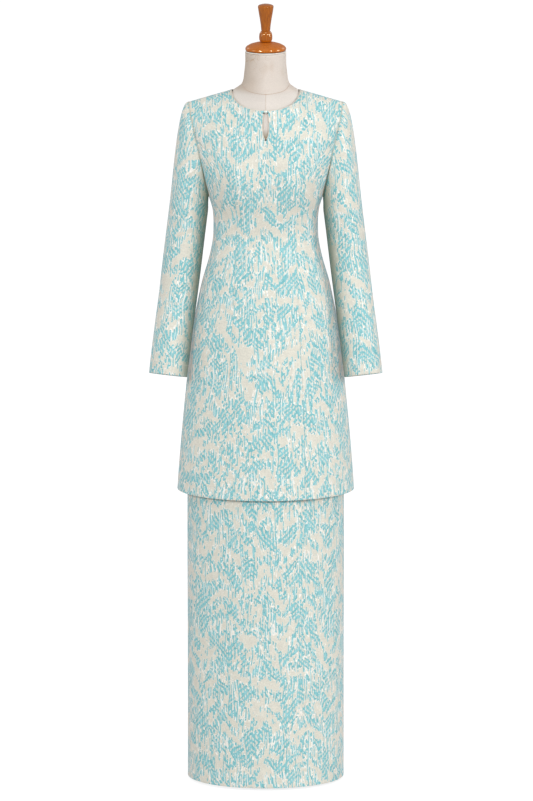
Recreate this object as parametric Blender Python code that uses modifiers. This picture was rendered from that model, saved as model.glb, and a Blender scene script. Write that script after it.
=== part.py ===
"""Baju kurung, a long tunic over a straight skirt, worn by a limbless dress form.

Metres, +Z up. The origin is on the floor under the middle of the form, and the front faces -Y.
Left and right are the wearer's, so left is +X.
"""

import math
from collections import namedtuple

import bmesh
import bpy
from mathutils import Vector

COLLECTION = "baju_kurung_on_dress_form"
CUTTERS = "cutters"

# Driving sizes
SEAM_GAP = 0.0003
CLOTH_WALL = 0.0016
SKIRT_HEM_HEIGHT = 0.0060
TUNIC_HEM_HEIGHT = 0.6244
UNDERARM_HEIGHT = 1.2490
CHEST_HEIGHT = 1.3760

NECK_HALF_WIDTH = 0.0713
NECK_FRONT_DEPTH = 0.0800
NECK_BACK_DEPTH = 0.0600
NECK_FRONT_HEIGHT = 1.4433
NECK_BACK_HEIGHT = 1.4680
NECK_POINT_HEIGHT = 1.4758
NECK_RISE_POWER = 1.25
NECK_FRONT_SLOPE = 68.0
NECK_BACK_SLOPE = 55.0
SHOULDER_TIP = Vector((0.1622, 0.0, 1.4502))

BUST_OUT = 0.068
BUST_HEIGHT = 1.292
BUST_RISE = 0.008
BUST_REACH_ACROSS = 0.058
BUST_REACH_UP = 0.095

WAISTBAND_BOTTOM = 1.0955
WAISTBAND_TOP = 1.1255

NECK_TOP_HEIGHT = 1.5555
TRIM_RADIUS = 0.0427
TRIM_THICKNESS = 0.0022
POLE_RADIUS = 0.0160
BASE_RADIUS = 0.1080
BASE_THICKNESS = 0.0180
FORM_BOTTOM = 0.8000

# Half a tunic panel counts from 0 at its middle to 1 at its edge, and this much is neckline.
NECK_SHARE = 0.44

# How finely the walls are drawn. The first columns are close, beside the keyhole.
PANEL_COLUMNS = (0.06, 0.15, 0.25, 0.35, NECK_SHARE, 0.58, 0.72, 0.86, 1.0)
HEM_TO_UNDERARM_ROWS = 17
SIDE_PANEL_COLUMNS = 6
SIDE_PANEL_TIP = 0.80
SLEEVE_HEAD_ROWS = 6
SLEEVE_TUBE_ROWS = 10
SKIRT_COLUMNS = 16
SKIRT_LEVELS = (0.0, 0.16, 0.32, 0.48, 0.60, 0.70, 0.78, 0.86, 0.93, 1.0)
WAISTBAND_STEPS = 32
SLIT_STEPS = 12
FACING_STEPS = 10
FORM_SEGMENTS = 28
TURNED_STEPS = 28
TRIM_SEGMENTS = 8
POLE_SEGMENTS = 20
BASE_SEGMENTS = 48
BASE_ROUNDING = 0.0030
SHARP_ANGLE = 40.0

# Small steps for slopes, in shares of a panel and in metres of height.
SLOPE_STEP = 1e-3
YOKE_SLOPE_STEP = 0.002
SLEEVE_SLOPE_STEP = 0.004
SEARCH_ROUNDS = 8

# The keyhole's cutter, from just in front of the form to well in front of the cloth.
CUTTER_START = 0.060
CUTTER_LENGTH = 0.060

# The tunic's level sections. Above the underarm the half width is that of the whole oval which
# the armhole cuts short, and princess is how far out the princess seam lies.
TunicRow = namedtuple("TunicRow", "height half_width front back power princess")
TUNIC_ROWS = (
    TunicRow(TUNIC_HEM_HEIGHT, 0.1869, 0.1540, 0.1540, 2.00, 0.0860),
    TunicRow(0.6830, 0.1827, 0.1515, 0.1525, 2.00, 0.0840),
    TunicRow(0.7683, 0.1754, 0.1460, 0.1490, 2.00, 0.0810),
    TunicRow(0.8643, 0.1659, 0.1380, 0.1440, 2.05, 0.0770),
    TunicRow(0.9603, 0.1554, 0.1275, 0.1350, 2.10, 0.0725),
    TunicRow(1.0136, 0.1457, 0.1190, 0.1255, 2.10, 0.0695),
    TunicRow(1.0669, 0.1344, 0.1095, 0.1120, 2.10, 0.0670),
    TunicRow(1.1181, 0.1197, 0.0990, 0.0945, 2.10, 0.0650),
    TunicRow(1.1522, 0.1124, 0.0915, 0.0825, 2.12, 0.0640),
    TunicRow(1.1778, 0.1103, 0.0885, 0.0775, 2.15, 0.0640),
    TunicRow(1.2204, 0.1117, 0.0958, 0.0810, 2.20, 0.0655),
    TunicRow(UNDERARM_HEIGHT, 0.1198, 0.1022, 0.0870, 2.25, 0.0685),
    TunicRow(1.2900, 0.1355, 0.1088, 0.0940, 2.30, 0.0770),
    TunicRow(1.3310, 0.1490, 0.1072, 0.0975, 2.35, 0.1010),
    TunicRow(CHEST_HEIGHT, 0.1590, 0.0995, 0.0975, 2.40, 0.1463),
)

# The lower armhole, from the underarm to the end of the princess seam: height and how far round
# the section the edge lies, 90 degrees being the side.
ArmholeRow = namedtuple("ArmholeRow", "height turn")
ARMHOLE_ROWS = (
    ArmholeRow(UNDERARM_HEIGHT, 90.0),
    ArmholeRow(1.2530, 79.5),
    ArmholeRow(1.2665, 73.5),
    ArmholeRow(1.2860, 69.5),
    ArmholeRow(1.3080, 66.5),
    ArmholeRow(1.3305, 64.6),
    ArmholeRow(1.3530, 64.2),
    ArmholeRow(CHEST_HEIGHT, 65.2),
)
# The upper armhole, up to the shoulder tip.
ArmholePoint = namedtuple("ArmholePoint", "out front back height")
ARMHOLE_POINTS = (
    ArmholePoint(0.1532, 0.0405, 0.0415, 1.4060),
    ArmholePoint(0.1585, 0.0265, 0.0275, 1.4280),
)
LOWER_STEPS = len(ARMHOLE_ROWS) - 1
UPPER_STEPS = 5
ARMHOLE_STEPS = LOWER_STEPS + UPPER_STEPS
SLEEVE_STEPS = 2 * ARMHOLE_STEPS

# The sleeve's middle line below the underarm, and its oval there.
SleeveRow = namedtuple("SleeveRow", "height out forward half_width half_depth")
SLEEVE_ROWS = (
    SleeveRow(1.2200, 0.1624, 0.0010, 0.0413, 0.0610),
    SleeveRow(1.1700, 0.1686, 0.0000, 0.0413, 0.0595),
    SleeveRow(1.1000, 0.1771, 0.0040, 0.0413, 0.0570),
    SleeveRow(1.0360, 0.1850, 0.0145, 0.0408, 0.0550),
    SleeveRow(0.9700, 0.1940, 0.0295, 0.0408, 0.0530),
    SleeveRow(0.9060, 0.2020, 0.0435, 0.0408, 0.0505),
    SleeveRow(0.8755, 0.2056, 0.0495, 0.0405, 0.0490),
)
SLEEVE_HEAD_REACH = 0.066
SLEEVE_HEAD_BULGE = 0.35

# The keyhole slit, from its point up to its flat top.
SlitRow = namedtuple("SlitRow", "height half_width")
SLIT_ROWS = (
    SlitRow(1.3836, 0.0004),
    SlitRow(1.3856, 0.0022),
    SlitRow(1.3872, 0.0031),
    SlitRow(1.3907, 0.0045),
    SlitRow(1.3979, 0.0060),
    SlitRow(1.4050, 0.0067),
    SlitRow(1.4140, 0.0069),
    SlitRow(1.4247, 0.0065),
    SlitRow(1.4318, 0.0055),
    SlitRow(1.4381, 0.0040),
)
LEAST_SLIT_GROWTH = 0.02
FACING_SHOWS = 0.0008
FACING_WIDTH = 0.0090
FACING_TOP_MARGIN = 0.0035
FACING_WALL = 0.0010
FACING_CLEARANCE = 0.0012

# Level sections of the skirt, its waistband and the dress form.
OvalRow = namedtuple("OvalRow", "height half_width front back power")
SKIRT_ROWS = (
    OvalRow(SKIRT_HEM_HEIGHT, 0.1654, 0.1450, 0.1450, 2.00),
    OvalRow(0.3200, 0.1654, 0.1450, 0.1450, 2.00),
    OvalRow(0.6250, 0.1654, 0.1425, 0.1440, 2.00),
    OvalRow(0.8000, 0.1615, 0.1330, 0.1390, 2.05),
    OvalRow(0.9000, 0.1550, 0.1255, 0.1330, 2.10),
    OvalRow(0.9603, 0.1480, 0.1200, 0.1280, 2.10),
    OvalRow(1.0136, 0.1385, 0.1118, 0.1185, 2.10),
    OvalRow(1.0669, 0.1268, 0.1020, 0.1045, 2.10),
    OvalRow(WAISTBAND_BOTTOM, 0.1188, 0.0962, 0.0950, 2.10),
)
WAISTBAND_ROWS = (
    OvalRow(WAISTBAND_BOTTOM, 0.1188, 0.0962, 0.0950, 2.10),
    OvalRow(WAISTBAND_TOP, 0.1105, 0.0895, 0.0845, 2.10),
)
FORM_ROWS = (
    OvalRow(FORM_BOTTOM, 0.1420, 0.1090, 0.1200, 2.15),
    OvalRow(0.8140, 0.1475, 0.1130, 0.1250, 2.15),
    OvalRow(0.8650, 0.1490, 0.1150, 0.1270, 2.15),
    OvalRow(0.9070, 0.1465, 0.1140, 0.1250, 2.15),
    OvalRow(0.9603, 0.1395, 0.1105, 0.1190, 2.15),
    OvalRow(1.0136, 0.1300, 0.1030, 0.1100, 2.15),
    OvalRow(1.0669, 0.1185, 0.0935, 0.0960, 2.15),
    OvalRow(1.1000, 0.1100, 0.0875, 0.0865, 2.15),
    OvalRow(1.1255, 0.1040, 0.0830, 0.0775, 2.15),
    OvalRow(1.1522, 0.1010, 0.0800, 0.0715, 2.15),
    OvalRow(1.1778, 0.1000, 0.0785, 0.0685, 2.15),
    OvalRow(1.2204, 0.1010, 0.0845, 0.0725, 2.20),
    OvalRow(1.2490, 0.1050, 0.0910, 0.0785, 2.20),
    OvalRow(1.2900, 0.1150, 0.0978, 0.0860, 2.20),
    OvalRow(1.3310, 0.1270, 0.0965, 0.0890, 2.15),
    OvalRow(1.3760, 0.1390, 0.0890, 0.0880, 2.00),
    OvalRow(1.4050, 0.1455, 0.0815, 0.0800, 1.75),
    OvalRow(1.4230, 0.1450, 0.0770, 0.0735, 1.50),
    OvalRow(1.4360, 0.1330, 0.0740, 0.0675, 1.35),
    OvalRow(1.4480, 0.1070, 0.0718, 0.0620, 1.30),
    OvalRow(1.4590, 0.0832, 0.0695, 0.0575, 1.40),
    OvalRow(1.4711, 0.0688, 0.0672, 0.0545, 1.60),
    OvalRow(1.4766, 0.0643, 0.0660, 0.0537, 1.80),
    OvalRow(1.4811, 0.0585, 0.0648, 0.0528, 2.00),
    OvalRow(1.4861, 0.0522, 0.0622, 0.0512, 2.00),
    OvalRow(1.4900, 0.0497, 0.0600, 0.0500, 2.00),
    OvalRow(1.4977, 0.0470, 0.0565, 0.0480, 2.00),
    OvalRow(1.5105, 0.0455, 0.0525, 0.0460, 2.00),
    OvalRow(1.5316, 0.0432, 0.0470, 0.0440, 2.00),
    OvalRow(NECK_TOP_HEIGHT, 0.0430, 0.0432, 0.0432, 2.00),
)

# Turned pieces, down their outer sides.
TurnedRow = namedtuple("TurnedRow", "radius height")
CAP_ROWS = (
    TurnedRow(0.0, 1.5768),
    TurnedRow(0.0125, 1.5766),
    TurnedRow(0.0220, 1.5752),
    TurnedRow(0.0320, 1.5722),
    TurnedRow(0.0395, 1.5682),
    TurnedRow(0.0425, 1.5650),
    TurnedRow(0.0432, 1.5622),
    TurnedRow(0.0427, 1.5600),
    TurnedRow(0.0410, 1.5588),
    TurnedRow(0.0, 1.5588),
)
FINIAL_ROWS = (
    TurnedRow(0.0, 1.6580),
    TurnedRow(0.0080, 1.6570),
    TurnedRow(0.0140, 1.6552),
    TurnedRow(0.0165, 1.6532),
    TurnedRow(0.0166, 1.6510),
    TurnedRow(0.0150, 1.6400),
    TurnedRow(0.0122, 1.6260),
    TurnedRow(0.0096, 1.6120),
    TurnedRow(0.0084, 1.6020),
    TurnedRow(0.0088, 1.5988),
    TurnedRow(0.0118, 1.5950),
    TurnedRow(0.0138, 1.5900),
    TurnedRow(0.0143, 1.5862),
    TurnedRow(0.0138, 1.5822),
    TurnedRow(0.0113, 1.5776),
    TurnedRow(0.0100, 1.5771),
    TurnedRow(0.0, 1.5771),
)

# Finishes: base colour, roughness, metallic
CLOTH_FINISH = ("turquoise_brocade", (0.60, 0.80, 0.78), 0.55, 0.0)
FACING_FINISH = ("tan_facing", (0.55, 0.43, 0.32), 0.80, 0.0)
COVER_FINISH = ("cotton_cover", (0.80, 0.74, 0.68), 0.85, 0.0)
PIPING_FINISH = ("cream_piping", (0.86, 0.82, 0.76), 0.80, 0.0)
WOOD_FINISH = ("stained_wood", (0.36, 0.13, 0.04), 0.30, 0.0)
STEEL_FINISH = ("painted_steel", (0.08, 0.08, 0.09), 0.45, 0.9)


def clear_scene():
    """Remove every object that the file opened with."""
    for item in list(bpy.data.objects):
        bpy.data.objects.remove(item, do_unlink=True)


def make_collection(name):
    """Add a collection to the scene."""
    collection = bpy.data.collections.new(name)
    bpy.context.scene.collection.children.link(collection)
    return collection


def make_material(finish):
    """Make a plain Principled material from a finish, or find the one already made."""
    name, colour, roughness, metallic = finish
    material = bpy.data.materials.get(name)
    if material is None:
        material = bpy.data.materials.new(name)
        material.use_nodes = True
        shader = material.node_tree.nodes["Principled BSDF"]
        shader.inputs["Base Color"].default_value = (*colour, 1.0)
        shader.inputs["Roughness"].default_value = roughness
        shader.inputs["Metallic"].default_value = metallic
    return material


def add_object(name, mesh, collection, finish):
    """Put a mesh in the scene as a named, smooth-shaded sub-part."""
    item = bpy.data.objects.new(name, mesh)
    collection.objects.link(item)
    mesh.materials.clear()
    mesh.materials.append(make_material(finish))
    mesh.shade_smooth()
    mesh.set_sharp_from_angle(angle=math.radians(SHARP_ANGLE))
    return item


def between(first, last, share):
    """The value or point at a share of the way from first to last."""
    return first + (last - first) * share


def spaced(first, last, steps):
    """Evenly spaced values from first to last."""
    return [between(first, last, step / steps) for step in range(steps + 1)]


def hermite(start, end, start_slope, end_slope, share):
    """A point on the cubic that leaves start and reaches end with the given slopes."""
    squared = share * share
    cubed = squared * share
    return (
        start * (2 * cubed - 3 * squared + 1)
        + start_slope * (cubed - 2 * squared + share)
        + end * (3 * squared - 2 * cubed)
        + end_slope * (cubed - squared)
    )


def table_value(rows, column, height):
    """A table's column at any height, on a smooth curve through its rows."""
    levels = [row.height for row in rows]
    values = [getattr(row, column) for row in rows]
    return curve_value(levels, values, height)


def curve_value(places, values, place):
    """The value at a place on a smooth curve through values at rising or falling places."""
    rising = 1.0 if places[-1] > places[0] else -1.0
    last = len(places) - 1
    low = 0
    while low < last - 1 and (place - places[low + 1]) * rising > 0:
        low += 1
    high = low + 1

    def slope(index):
        before = max(index - 1, 0)
        after = min(index + 1, last)
        return (values[after] - values[before]) / (places[after] - places[before])

    span = places[high] - places[low]
    share = (place - places[low]) / span
    return hermite(values[low], values[high], slope(low) * span, slope(high) * span, share)


def oval_point(half_width, depth, power, turn):
    """A point of a rounded oval's quarter: turn is 0 at its middle and a quarter circle at its side."""
    out = half_width * max(math.sin(turn), 0.0) ** (2.0 / power)
    along = depth * max(math.cos(turn), 0.0) ** (2.0 / power)
    return out, along


def bust_rise(out, height):
    """How far the front stands out over the bust."""
    across = (out - BUST_OUT) / BUST_REACH_ACROSS
    upward = (height - BUST_HEIGHT) / BUST_REACH_UP
    room = max(0.0, 1.0 - across * across - upward * upward)
    return BUST_RISE * room * room


def body_point(height, turn, front):
    """A point of the tunic below the chest line, on the wearer's left."""
    half_width = table_value(TUNIC_ROWS, "half_width", height)
    depth = table_value(TUNIC_ROWS, "front" if front else "back", height)
    power = table_value(TUNIC_ROWS, "power", height)
    out, along = oval_point(half_width, depth, power, turn)
    if front:
        return Vector((out, -along - bust_rise(out, height), height))
    return Vector((out, along, height))


def princess_turn(height):
    """How far round the section the princess seam lies at a height."""
    half_width = table_value(TUNIC_ROWS, "half_width", height)
    power = table_value(TUNIC_ROWS, "power", height)
    out = table_value(TUNIC_ROWS, "princess", height)
    return math.asin(min(1.0, (out / half_width) ** (power / 2.0)))


def armhole_row(step):
    """Height and turn of the lower armhole at a step from the underarm."""
    steps = list(range(LOWER_STEPS + 1))
    height = curve_value(steps, [row.height for row in ARMHOLE_ROWS], step)
    turn = curve_value(steps, [row.turn for row in ARMHOLE_ROWS], step)
    return height, math.radians(turn)


def armhole_point(step, front):
    """A point of the armhole seam, from the underarm at 0 to the shoulder tip at the last step."""
    if step <= LOWER_STEPS:
        height, turn = armhole_row(step)
        return body_point(height, turn, front)
    side = -1.0 if front else 1.0
    points = [body_point(*armhole_row(row), front) for row in (LOWER_STEPS - 1, LOWER_STEPS)]
    for row in ARMHOLE_POINTS:
        depth = row.front if front else row.back
        points.append(Vector((row.out, side * depth, row.height)))
    points.append(SHOULDER_TIP)
    beyond = ARMHOLE_POINTS[-1]
    points.append(Vector((beyond.out, -side * beyond.front, beyond.height)))
    spans = len(points) - 3
    place = (step - LOWER_STEPS) / UPPER_STEPS * spans
    low = min(int(place), spans - 1)
    before, start, end, after = points[low:low + 4]
    return hermite(start, end, (end - before) / 2, (after - start) / 2, place - low)


def neckline_point(turn, front):
    """A point of the neckline: turn is 0 at its middle and a quarter circle at the shoulder seam."""
    depth = NECK_FRONT_DEPTH if front else NECK_BACK_DEPTH
    lowest = NECK_FRONT_HEIGHT if front else NECK_BACK_HEIGHT
    side = -1.0 if front else 1.0
    rise = (1.0 - math.cos(turn)) ** NECK_RISE_POWER
    height = between(lowest, NECK_POINT_HEIGHT, rise)
    return Vector((NECK_HALF_WIDTH * math.sin(turn), side * depth * math.cos(turn), height))


def top_edge(across, front):
    """The panel's top edge, neckline and then shoulder seam, and the way the cloth crosses it."""
    inward = 1.0 if front else -1.0
    if across <= NECK_SHARE:
        turn = across / NECK_SHARE * math.pi / 2
        steepest = NECK_FRONT_SLOPE if front else NECK_BACK_SLOPE
        slope = math.radians(steepest) * math.cos(turn)
        return neckline_point(turn, front), Vector((0.0, inward * math.cos(slope), math.sin(slope)))
    share = (across - NECK_SHARE) / (1.0 - NECK_SHARE)
    neck_point = neckline_point(math.pi / 2, front)
    return between(neck_point, SHOULDER_TIP, share), Vector((0.0, inward, 0.0))


def yoke_point(chest, across, step, front):
    """A point between the chest line and the top edge; chest gives the surface by share and height."""
    start = chest(across, CHEST_HEIGHT)
    rising = (start - chest(across, CHEST_HEIGHT - YOKE_SLOPE_STEP)).normalized()
    end, crossing = top_edge(across, front)
    reach = (end - start).length
    return hermite(start, end, rising * reach, crossing * reach, (step - LOWER_STEPS) / UPPER_STEPS)


def panel_point(chest, across, along, low_rows, front, edge_first):
    """A point of a whole panel: across 0 at its middle and 1 at its edge, along in rows from the hem."""
    step = along - low_rows
    if step <= 0:
        height = between(TUNIC_HEM_HEIGHT, UNDERARM_HEIGHT, along / low_rows)
        return chest(across, height)
    if step <= edge_first:
        height = between(UNDERARM_HEIGHT, CHEST_HEIGHT, step / LOWER_STEPS)
        return chest(across, height)
    if step <= LOWER_STEPS:
        level = between(UNDERARM_HEIGHT, CHEST_HEIGHT, step / LOWER_STEPS)
        edge_height, edge_turn = armhole_row(step)
        height = between(level, edge_height, across)
        return body_point(height, edge_turn * across, front)
    point = yoke_point(chest, across, step, front)
    miss = armhole_point(step, front) - yoke_point(chest, 1.0, step, front)
    return point + miss * across ** 3


def front_surface(across, along):
    """The centre front: across runs from -1 at the right princess seam to 1 at the left one."""
    def chest(share, height):
        return body_point(height, princess_turn(height) * share, True)

    point = panel_point(chest, abs(across), along, HEM_TO_UNDERARM_ROWS, True, LOWER_STEPS)
    point.x = math.copysign(point.x, across)
    return point


def back_surface(across, along):
    """The back: across runs from -1 at the left side to 1 at the right one."""
    def chest(share, height):
        if height <= UNDERARM_HEIGHT:
            return body_point(height, math.pi / 2 * share, False)
        step = LOWER_STEPS * (height - UNDERARM_HEIGHT) / (CHEST_HEIGHT - UNDERARM_HEIGHT)
        edge_height, edge_turn = armhole_row(step)
        return body_point(between(height, edge_height, share), edge_turn * share, False)

    point = panel_point(chest, abs(across), along, HEM_TO_UNDERARM_ROWS, False, 0)
    point.x = -math.copysign(point.x, across)
    return point


def side_front_surface(across, along):
    """The left side front: across runs from the princess seam to the side seam and the armhole."""
    step = along - HEM_TO_UNDERARM_ROWS
    if step <= 0:
        height = between(TUNIC_HEM_HEIGHT, UNDERARM_HEIGHT, along / HEM_TO_UNDERARM_ROWS)
        return body_point(height, between(princess_turn(height), math.pi / 2, across), True)
    last_row = LOWER_STEPS - 1
    if step > last_row:
        low = side_front_surface(across, HEM_TO_UNDERARM_ROWS + last_row)
        return between(low, armhole_point(LOWER_STEPS, True), step - last_row)
    seam_height = between(UNDERARM_HEIGHT, CHEST_HEIGHT, step / LOWER_STEPS)
    edge_height, edge_turn = armhole_row(step)
    height = between(seam_height, edge_height, across)
    return body_point(height, between(princess_turn(seam_height), edge_turn, across), True)


def sleeve_axis(height):
    """A point of the left sleeve's middle line."""
    out = table_value(SLEEVE_ROWS, "out", height)
    return Vector((out, -table_value(SLEEVE_ROWS, "forward", height), height))


def sleeve_way(height):
    """The way down the sleeve at a height of its middle line."""
    high = min(height + SLEEVE_SLOPE_STEP, SLEEVE_ROWS[0].height)
    low = max(height - SLEEVE_SLOPE_STEP, SLEEVE_ROWS[-1].height)
    return (sleeve_axis(low) - sleeve_axis(high)).normalized()


def sleeve_ring(height, turn):
    """A point round the sleeve: turn 0 is the outer side and a quarter circle the front."""
    way = sleeve_way(height)
    outward = Vector((1.0, 0.0, 0.0))
    outward = (outward - way * outward.dot(way)).normalized()
    forward = way.cross(outward).normalized()
    if forward.y > 0:
        forward.negate()
    wide = table_value(SLEEVE_ROWS, "half_width", height)
    deep = table_value(SLEEVE_ROWS, "half_depth", height)
    return sleeve_axis(height) + outward * (wide * math.cos(turn)) + forward * (deep * math.sin(turn))


def sleeve_surface(around, along):
    """The left sleeve: around in armhole steps from the shoulder tip forward, along in rows down."""
    around = around % SLEEVE_STEPS
    turn = around / SLEEVE_STEPS * 2 * math.pi
    top = SLEEVE_ROWS[0].height
    if along >= SLEEVE_HEAD_ROWS:
        share = (along - SLEEVE_HEAD_ROWS) / SLEEVE_TUBE_ROWS
        return sleeve_ring(between(top, SLEEVE_ROWS[-1].height, share), turn)
    front = around <= ARMHOLE_STEPS
    step = ARMHOLE_STEPS - around if front else around - ARMHOLE_STEPS
    start = armhole_point(step, front) + Vector((SEAM_GAP, 0.0, 0.0))
    end = sleeve_ring(top, turn)
    reach = (end - start).length
    way = sleeve_way(top)
    topness = (1.0 + math.cos(turn)) / 2
    head = Vector((SLEEVE_HEAD_REACH, 0.0, 0.0)) * topness ** 2
    fall = way * reach * (1.0 - topness)
    bulge = Vector((0.0, -math.sin(turn), 0.0)) * reach * SLEEVE_HEAD_BULGE * topness
    return hermite(start, end, head + fall + bulge, way * reach, along / SLEEVE_HEAD_ROWS)


def table_oval(rows, front):
    """A function that gives the point of a table's section by height and turn, on the left side."""
    def point(height, turn):
        half_width = table_value(rows, "half_width", height)
        depth = table_value(rows, "front" if front else "back", height)
        power = table_value(rows, "power", height)
        out, along = oval_point(half_width, depth, power, turn)
        return Vector((out, -along if front else along, height))

    return point


def half_tube(rows, front):
    """The front or back half of a tube through a table's sections, from one side to the other."""
    point_at = table_oval(rows, front)
    side = 1.0 if front else -1.0

    def surface(across, along):
        height = between(rows[0].height, rows[-1].height, along)
        point = point_at(height, abs(across) * math.pi / 2)
        point.x = side * math.copysign(point.x, across)
        return point

    return surface


def whole_tube(rows):
    """A tube through a table's sections, around counted in whole turns."""
    front_at = table_oval(rows, True)
    back_at = table_oval(rows, False)

    def surface(around, along):
        height = between(rows[0].height, rows[-1].height, along)
        angle = (around % 1.0) * 2 * math.pi
        turn = math.asin(min(1.0, abs(math.sin(angle))))
        point = (front_at if math.cos(angle) >= 0 else back_at)(height, turn)
        point.x = math.copysign(point.x, math.sin(angle))
        return point

    return surface


def mirrored(surface, first, last):
    """The same surface on the wearer's right, with its outer face still outside."""
    def other(across, along):
        point = surface(first + last - across, along)
        return Vector((-point.x, point.y, point.z))

    return other


def wall_mesh(name, surface, across, along, thickness, closed=False, trim=(0, 0, 0, 0)):
    """A cloth wall: outer points on the surface, inner points a thickness behind them.

    trim draws the edges in along the surface: at the first and last of across, then of along.
    """
    def slopes(u, v):
        u_low = u if closed else max(u - SLOPE_STEP, across[0])
        u_high = u + SLOPE_STEP if closed else min(u + SLOPE_STEP, across[-1])
        v_low = max(v - SLOPE_STEP, along[0])
        v_high = min(v + SLOPE_STEP, along[-1])
        sideways = (surface(u_high, v) - surface(u_low, v)).normalized()
        onward = (surface(u, v_high) - surface(u, v_low)).normalized()
        return sideways, onward

    mesh = bmesh.new()
    outer = []
    inner = []
    for v in along:
        outer_row = []
        inner_row = []
        for u in across:
            sideways, onward = slopes(u, v)
            point = surface(u, v)
            point = point + sideways * (trim[0] * (u == across[0]) - trim[1] * (u == across[-1]))
            point = point + onward * (trim[2] * (v == along[0]) - trim[3] * (v == along[-1]))
            normal = sideways.cross(onward).normalized()
            outer_row.append(mesh.verts.new(point))
            inner_row.append(mesh.verts.new(point - normal * thickness))
        outer.append(outer_row)
        inner.append(inner_row)
    columns = len(across)
    spans = columns if closed else columns - 1
    for row in range(len(along) - 1):
        for column in range(spans):
            after = (column + 1) % columns
            corners = ((row, column), (row, after), (row + 1, after), (row + 1, column))
            mesh.faces.new([outer[i][j] for i, j in corners])
            mesh.faces.new([inner[i][j] for i, j in reversed(corners)])
    for column in range(spans):
        after = (column + 1) % columns
        mesh.faces.new((inner[0][column], inner[0][after], outer[0][after], outer[0][column]))
        mesh.faces.new((outer[-1][column], outer[-1][after], inner[-1][after], inner[-1][column]))
    if not closed:
        for row in range(len(along) - 1):
            mesh.faces.new((outer[row][0], outer[row + 1][0], inner[row + 1][0], inner[row][0]))
            mesh.faces.new((inner[row][-1], inner[row + 1][-1], outer[row + 1][-1], outer[row][-1]))
    data = bpy.data.meshes.new(name)
    mesh.to_mesh(data)
    mesh.free()
    return data


def slit_outline(grow, top_margin, steps):
    """Points round the slit, grown sideways and down by an amount and up by a margin."""
    low = SLIT_ROWS[0].height
    high = SLIT_ROWS[-1].height
    right = []
    for height in spaced(low, high, steps):
        half_width = table_value(SLIT_ROWS, "half_width", height)
        share = (height - low) / (high - low)
        lowered = height - grow * (1.0 - share) + top_margin * share
        wider = grow * math.sqrt(max(share, LEAST_SLIT_GROWTH))
        right.append(Vector((half_width + wider, lowered)))
    left = [Vector((-point.x, point.y)) for point in reversed(right)]
    return right + left


def make_slit_cutter(collection):
    """A lens-shaped block through the centre front, as the keyhole."""
    outline = slit_outline(0.0, 0.0, SLIT_STEPS)
    mesh = bmesh.new()
    inside = [mesh.verts.new((point.x, -CUTTER_START, point.y)) for point in outline]
    face = mesh.faces.new(inside)
    grown = bmesh.ops.extrude_face_region(mesh, geom=[face])
    moved = [item for item in grown["geom"] if isinstance(item, bmesh.types.BMVert)]
    bmesh.ops.translate(mesh, vec=(0.0, -CUTTER_LENGTH, 0.0), verts=moved)
    bmesh.ops.recalc_face_normals(mesh, faces=mesh.faces)
    data = bpy.data.meshes.new("slit_cutter")
    mesh.to_mesh(data)
    mesh.free()
    cutter = bpy.data.objects.new("slit_cutter", data)
    cutter.hide_render = True
    cutter.display_type = "WIRE"
    collection.objects.link(cutter)
    return cutter


def front_at(out, height):
    """The centre front's outer point at a place seen from the front, near its middle."""
    across = 0.0
    along = HEM_TO_UNDERARM_ROWS + LOWER_STEPS + 1.0
    for _ in range(SEARCH_ROUNDS):
        point = front_surface(across, along)
        up_slope = (front_surface(across, along + SLOPE_STEP).z - point.z) / SLOPE_STEP
        out_slope = (front_surface(across + SLOPE_STEP, along).x - point.x) / SLOPE_STEP
        along += (height - point.z) / up_slope
        across += (out - point.x) / out_slope
    return front_surface(across, along)


def make_tunic(collection, cutters):
    """The centre front with its keyhole, the two side fronts and the back."""
    half_gap = SEAM_GAP / 2
    columns = [-share for share in reversed(PANEL_COLUMNS)] + [0.0] + list(PANEL_COLUMNS)
    rows = [float(row) for row in range(HEM_TO_UNDERARM_ROWS + ARMHOLE_STEPS + 1)]
    trim = (half_gap, half_gap, 0.0, half_gap)
    front_mesh = wall_mesh("tunic_front", front_surface, columns, rows, CLOTH_WALL, trim=trim)
    front = add_object("tunic_front", front_mesh, collection, CLOTH_FINISH)
    slit = front.modifiers.new("keyhole", "BOOLEAN")
    slit.object = make_slit_cutter(cutters)
    slit.operation = "DIFFERENCE"
    back_mesh = wall_mesh("tunic_back", back_surface, columns, rows, CLOTH_WALL, trim=trim)
    add_object("tunic_back", back_mesh, collection, CLOTH_FINISH)

    side_columns = spaced(0.0, 1.0, SIDE_PANEL_COLUMNS)
    side_rows = rows[:HEM_TO_UNDERARM_ROWS + LOWER_STEPS]
    side_rows.append(side_rows[-1] + SIDE_PANEL_TIP)
    left = side_front_surface
    right = mirrored(side_front_surface, 0.0, 1.0)
    for name, surface in (("tunic_side_front_left", left), ("tunic_side_front_right", right)):
        mesh = wall_mesh(name, surface, side_columns, side_rows, CLOTH_WALL, trim=trim)
        add_object(name, mesh, collection, CLOTH_FINISH)


def make_sleeves(collection):
    """Both sleeves, each an open tube from its armhole to its cuff."""
    around = [float(step) for step in range(SLEEVE_STEPS)]
    along = [float(row) for row in range(SLEEVE_HEAD_ROWS + SLEEVE_TUBE_ROWS + 1)]
    left = sleeve_surface
    right = mirrored(sleeve_surface, 0.0, float(SLEEVE_STEPS))
    for name, surface in (("sleeve_left", left), ("sleeve_right", right)):
        mesh = wall_mesh(name, surface, around, along, CLOTH_WALL, closed=True)
        add_object(name, mesh, collection, CLOTH_FINISH)


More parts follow.
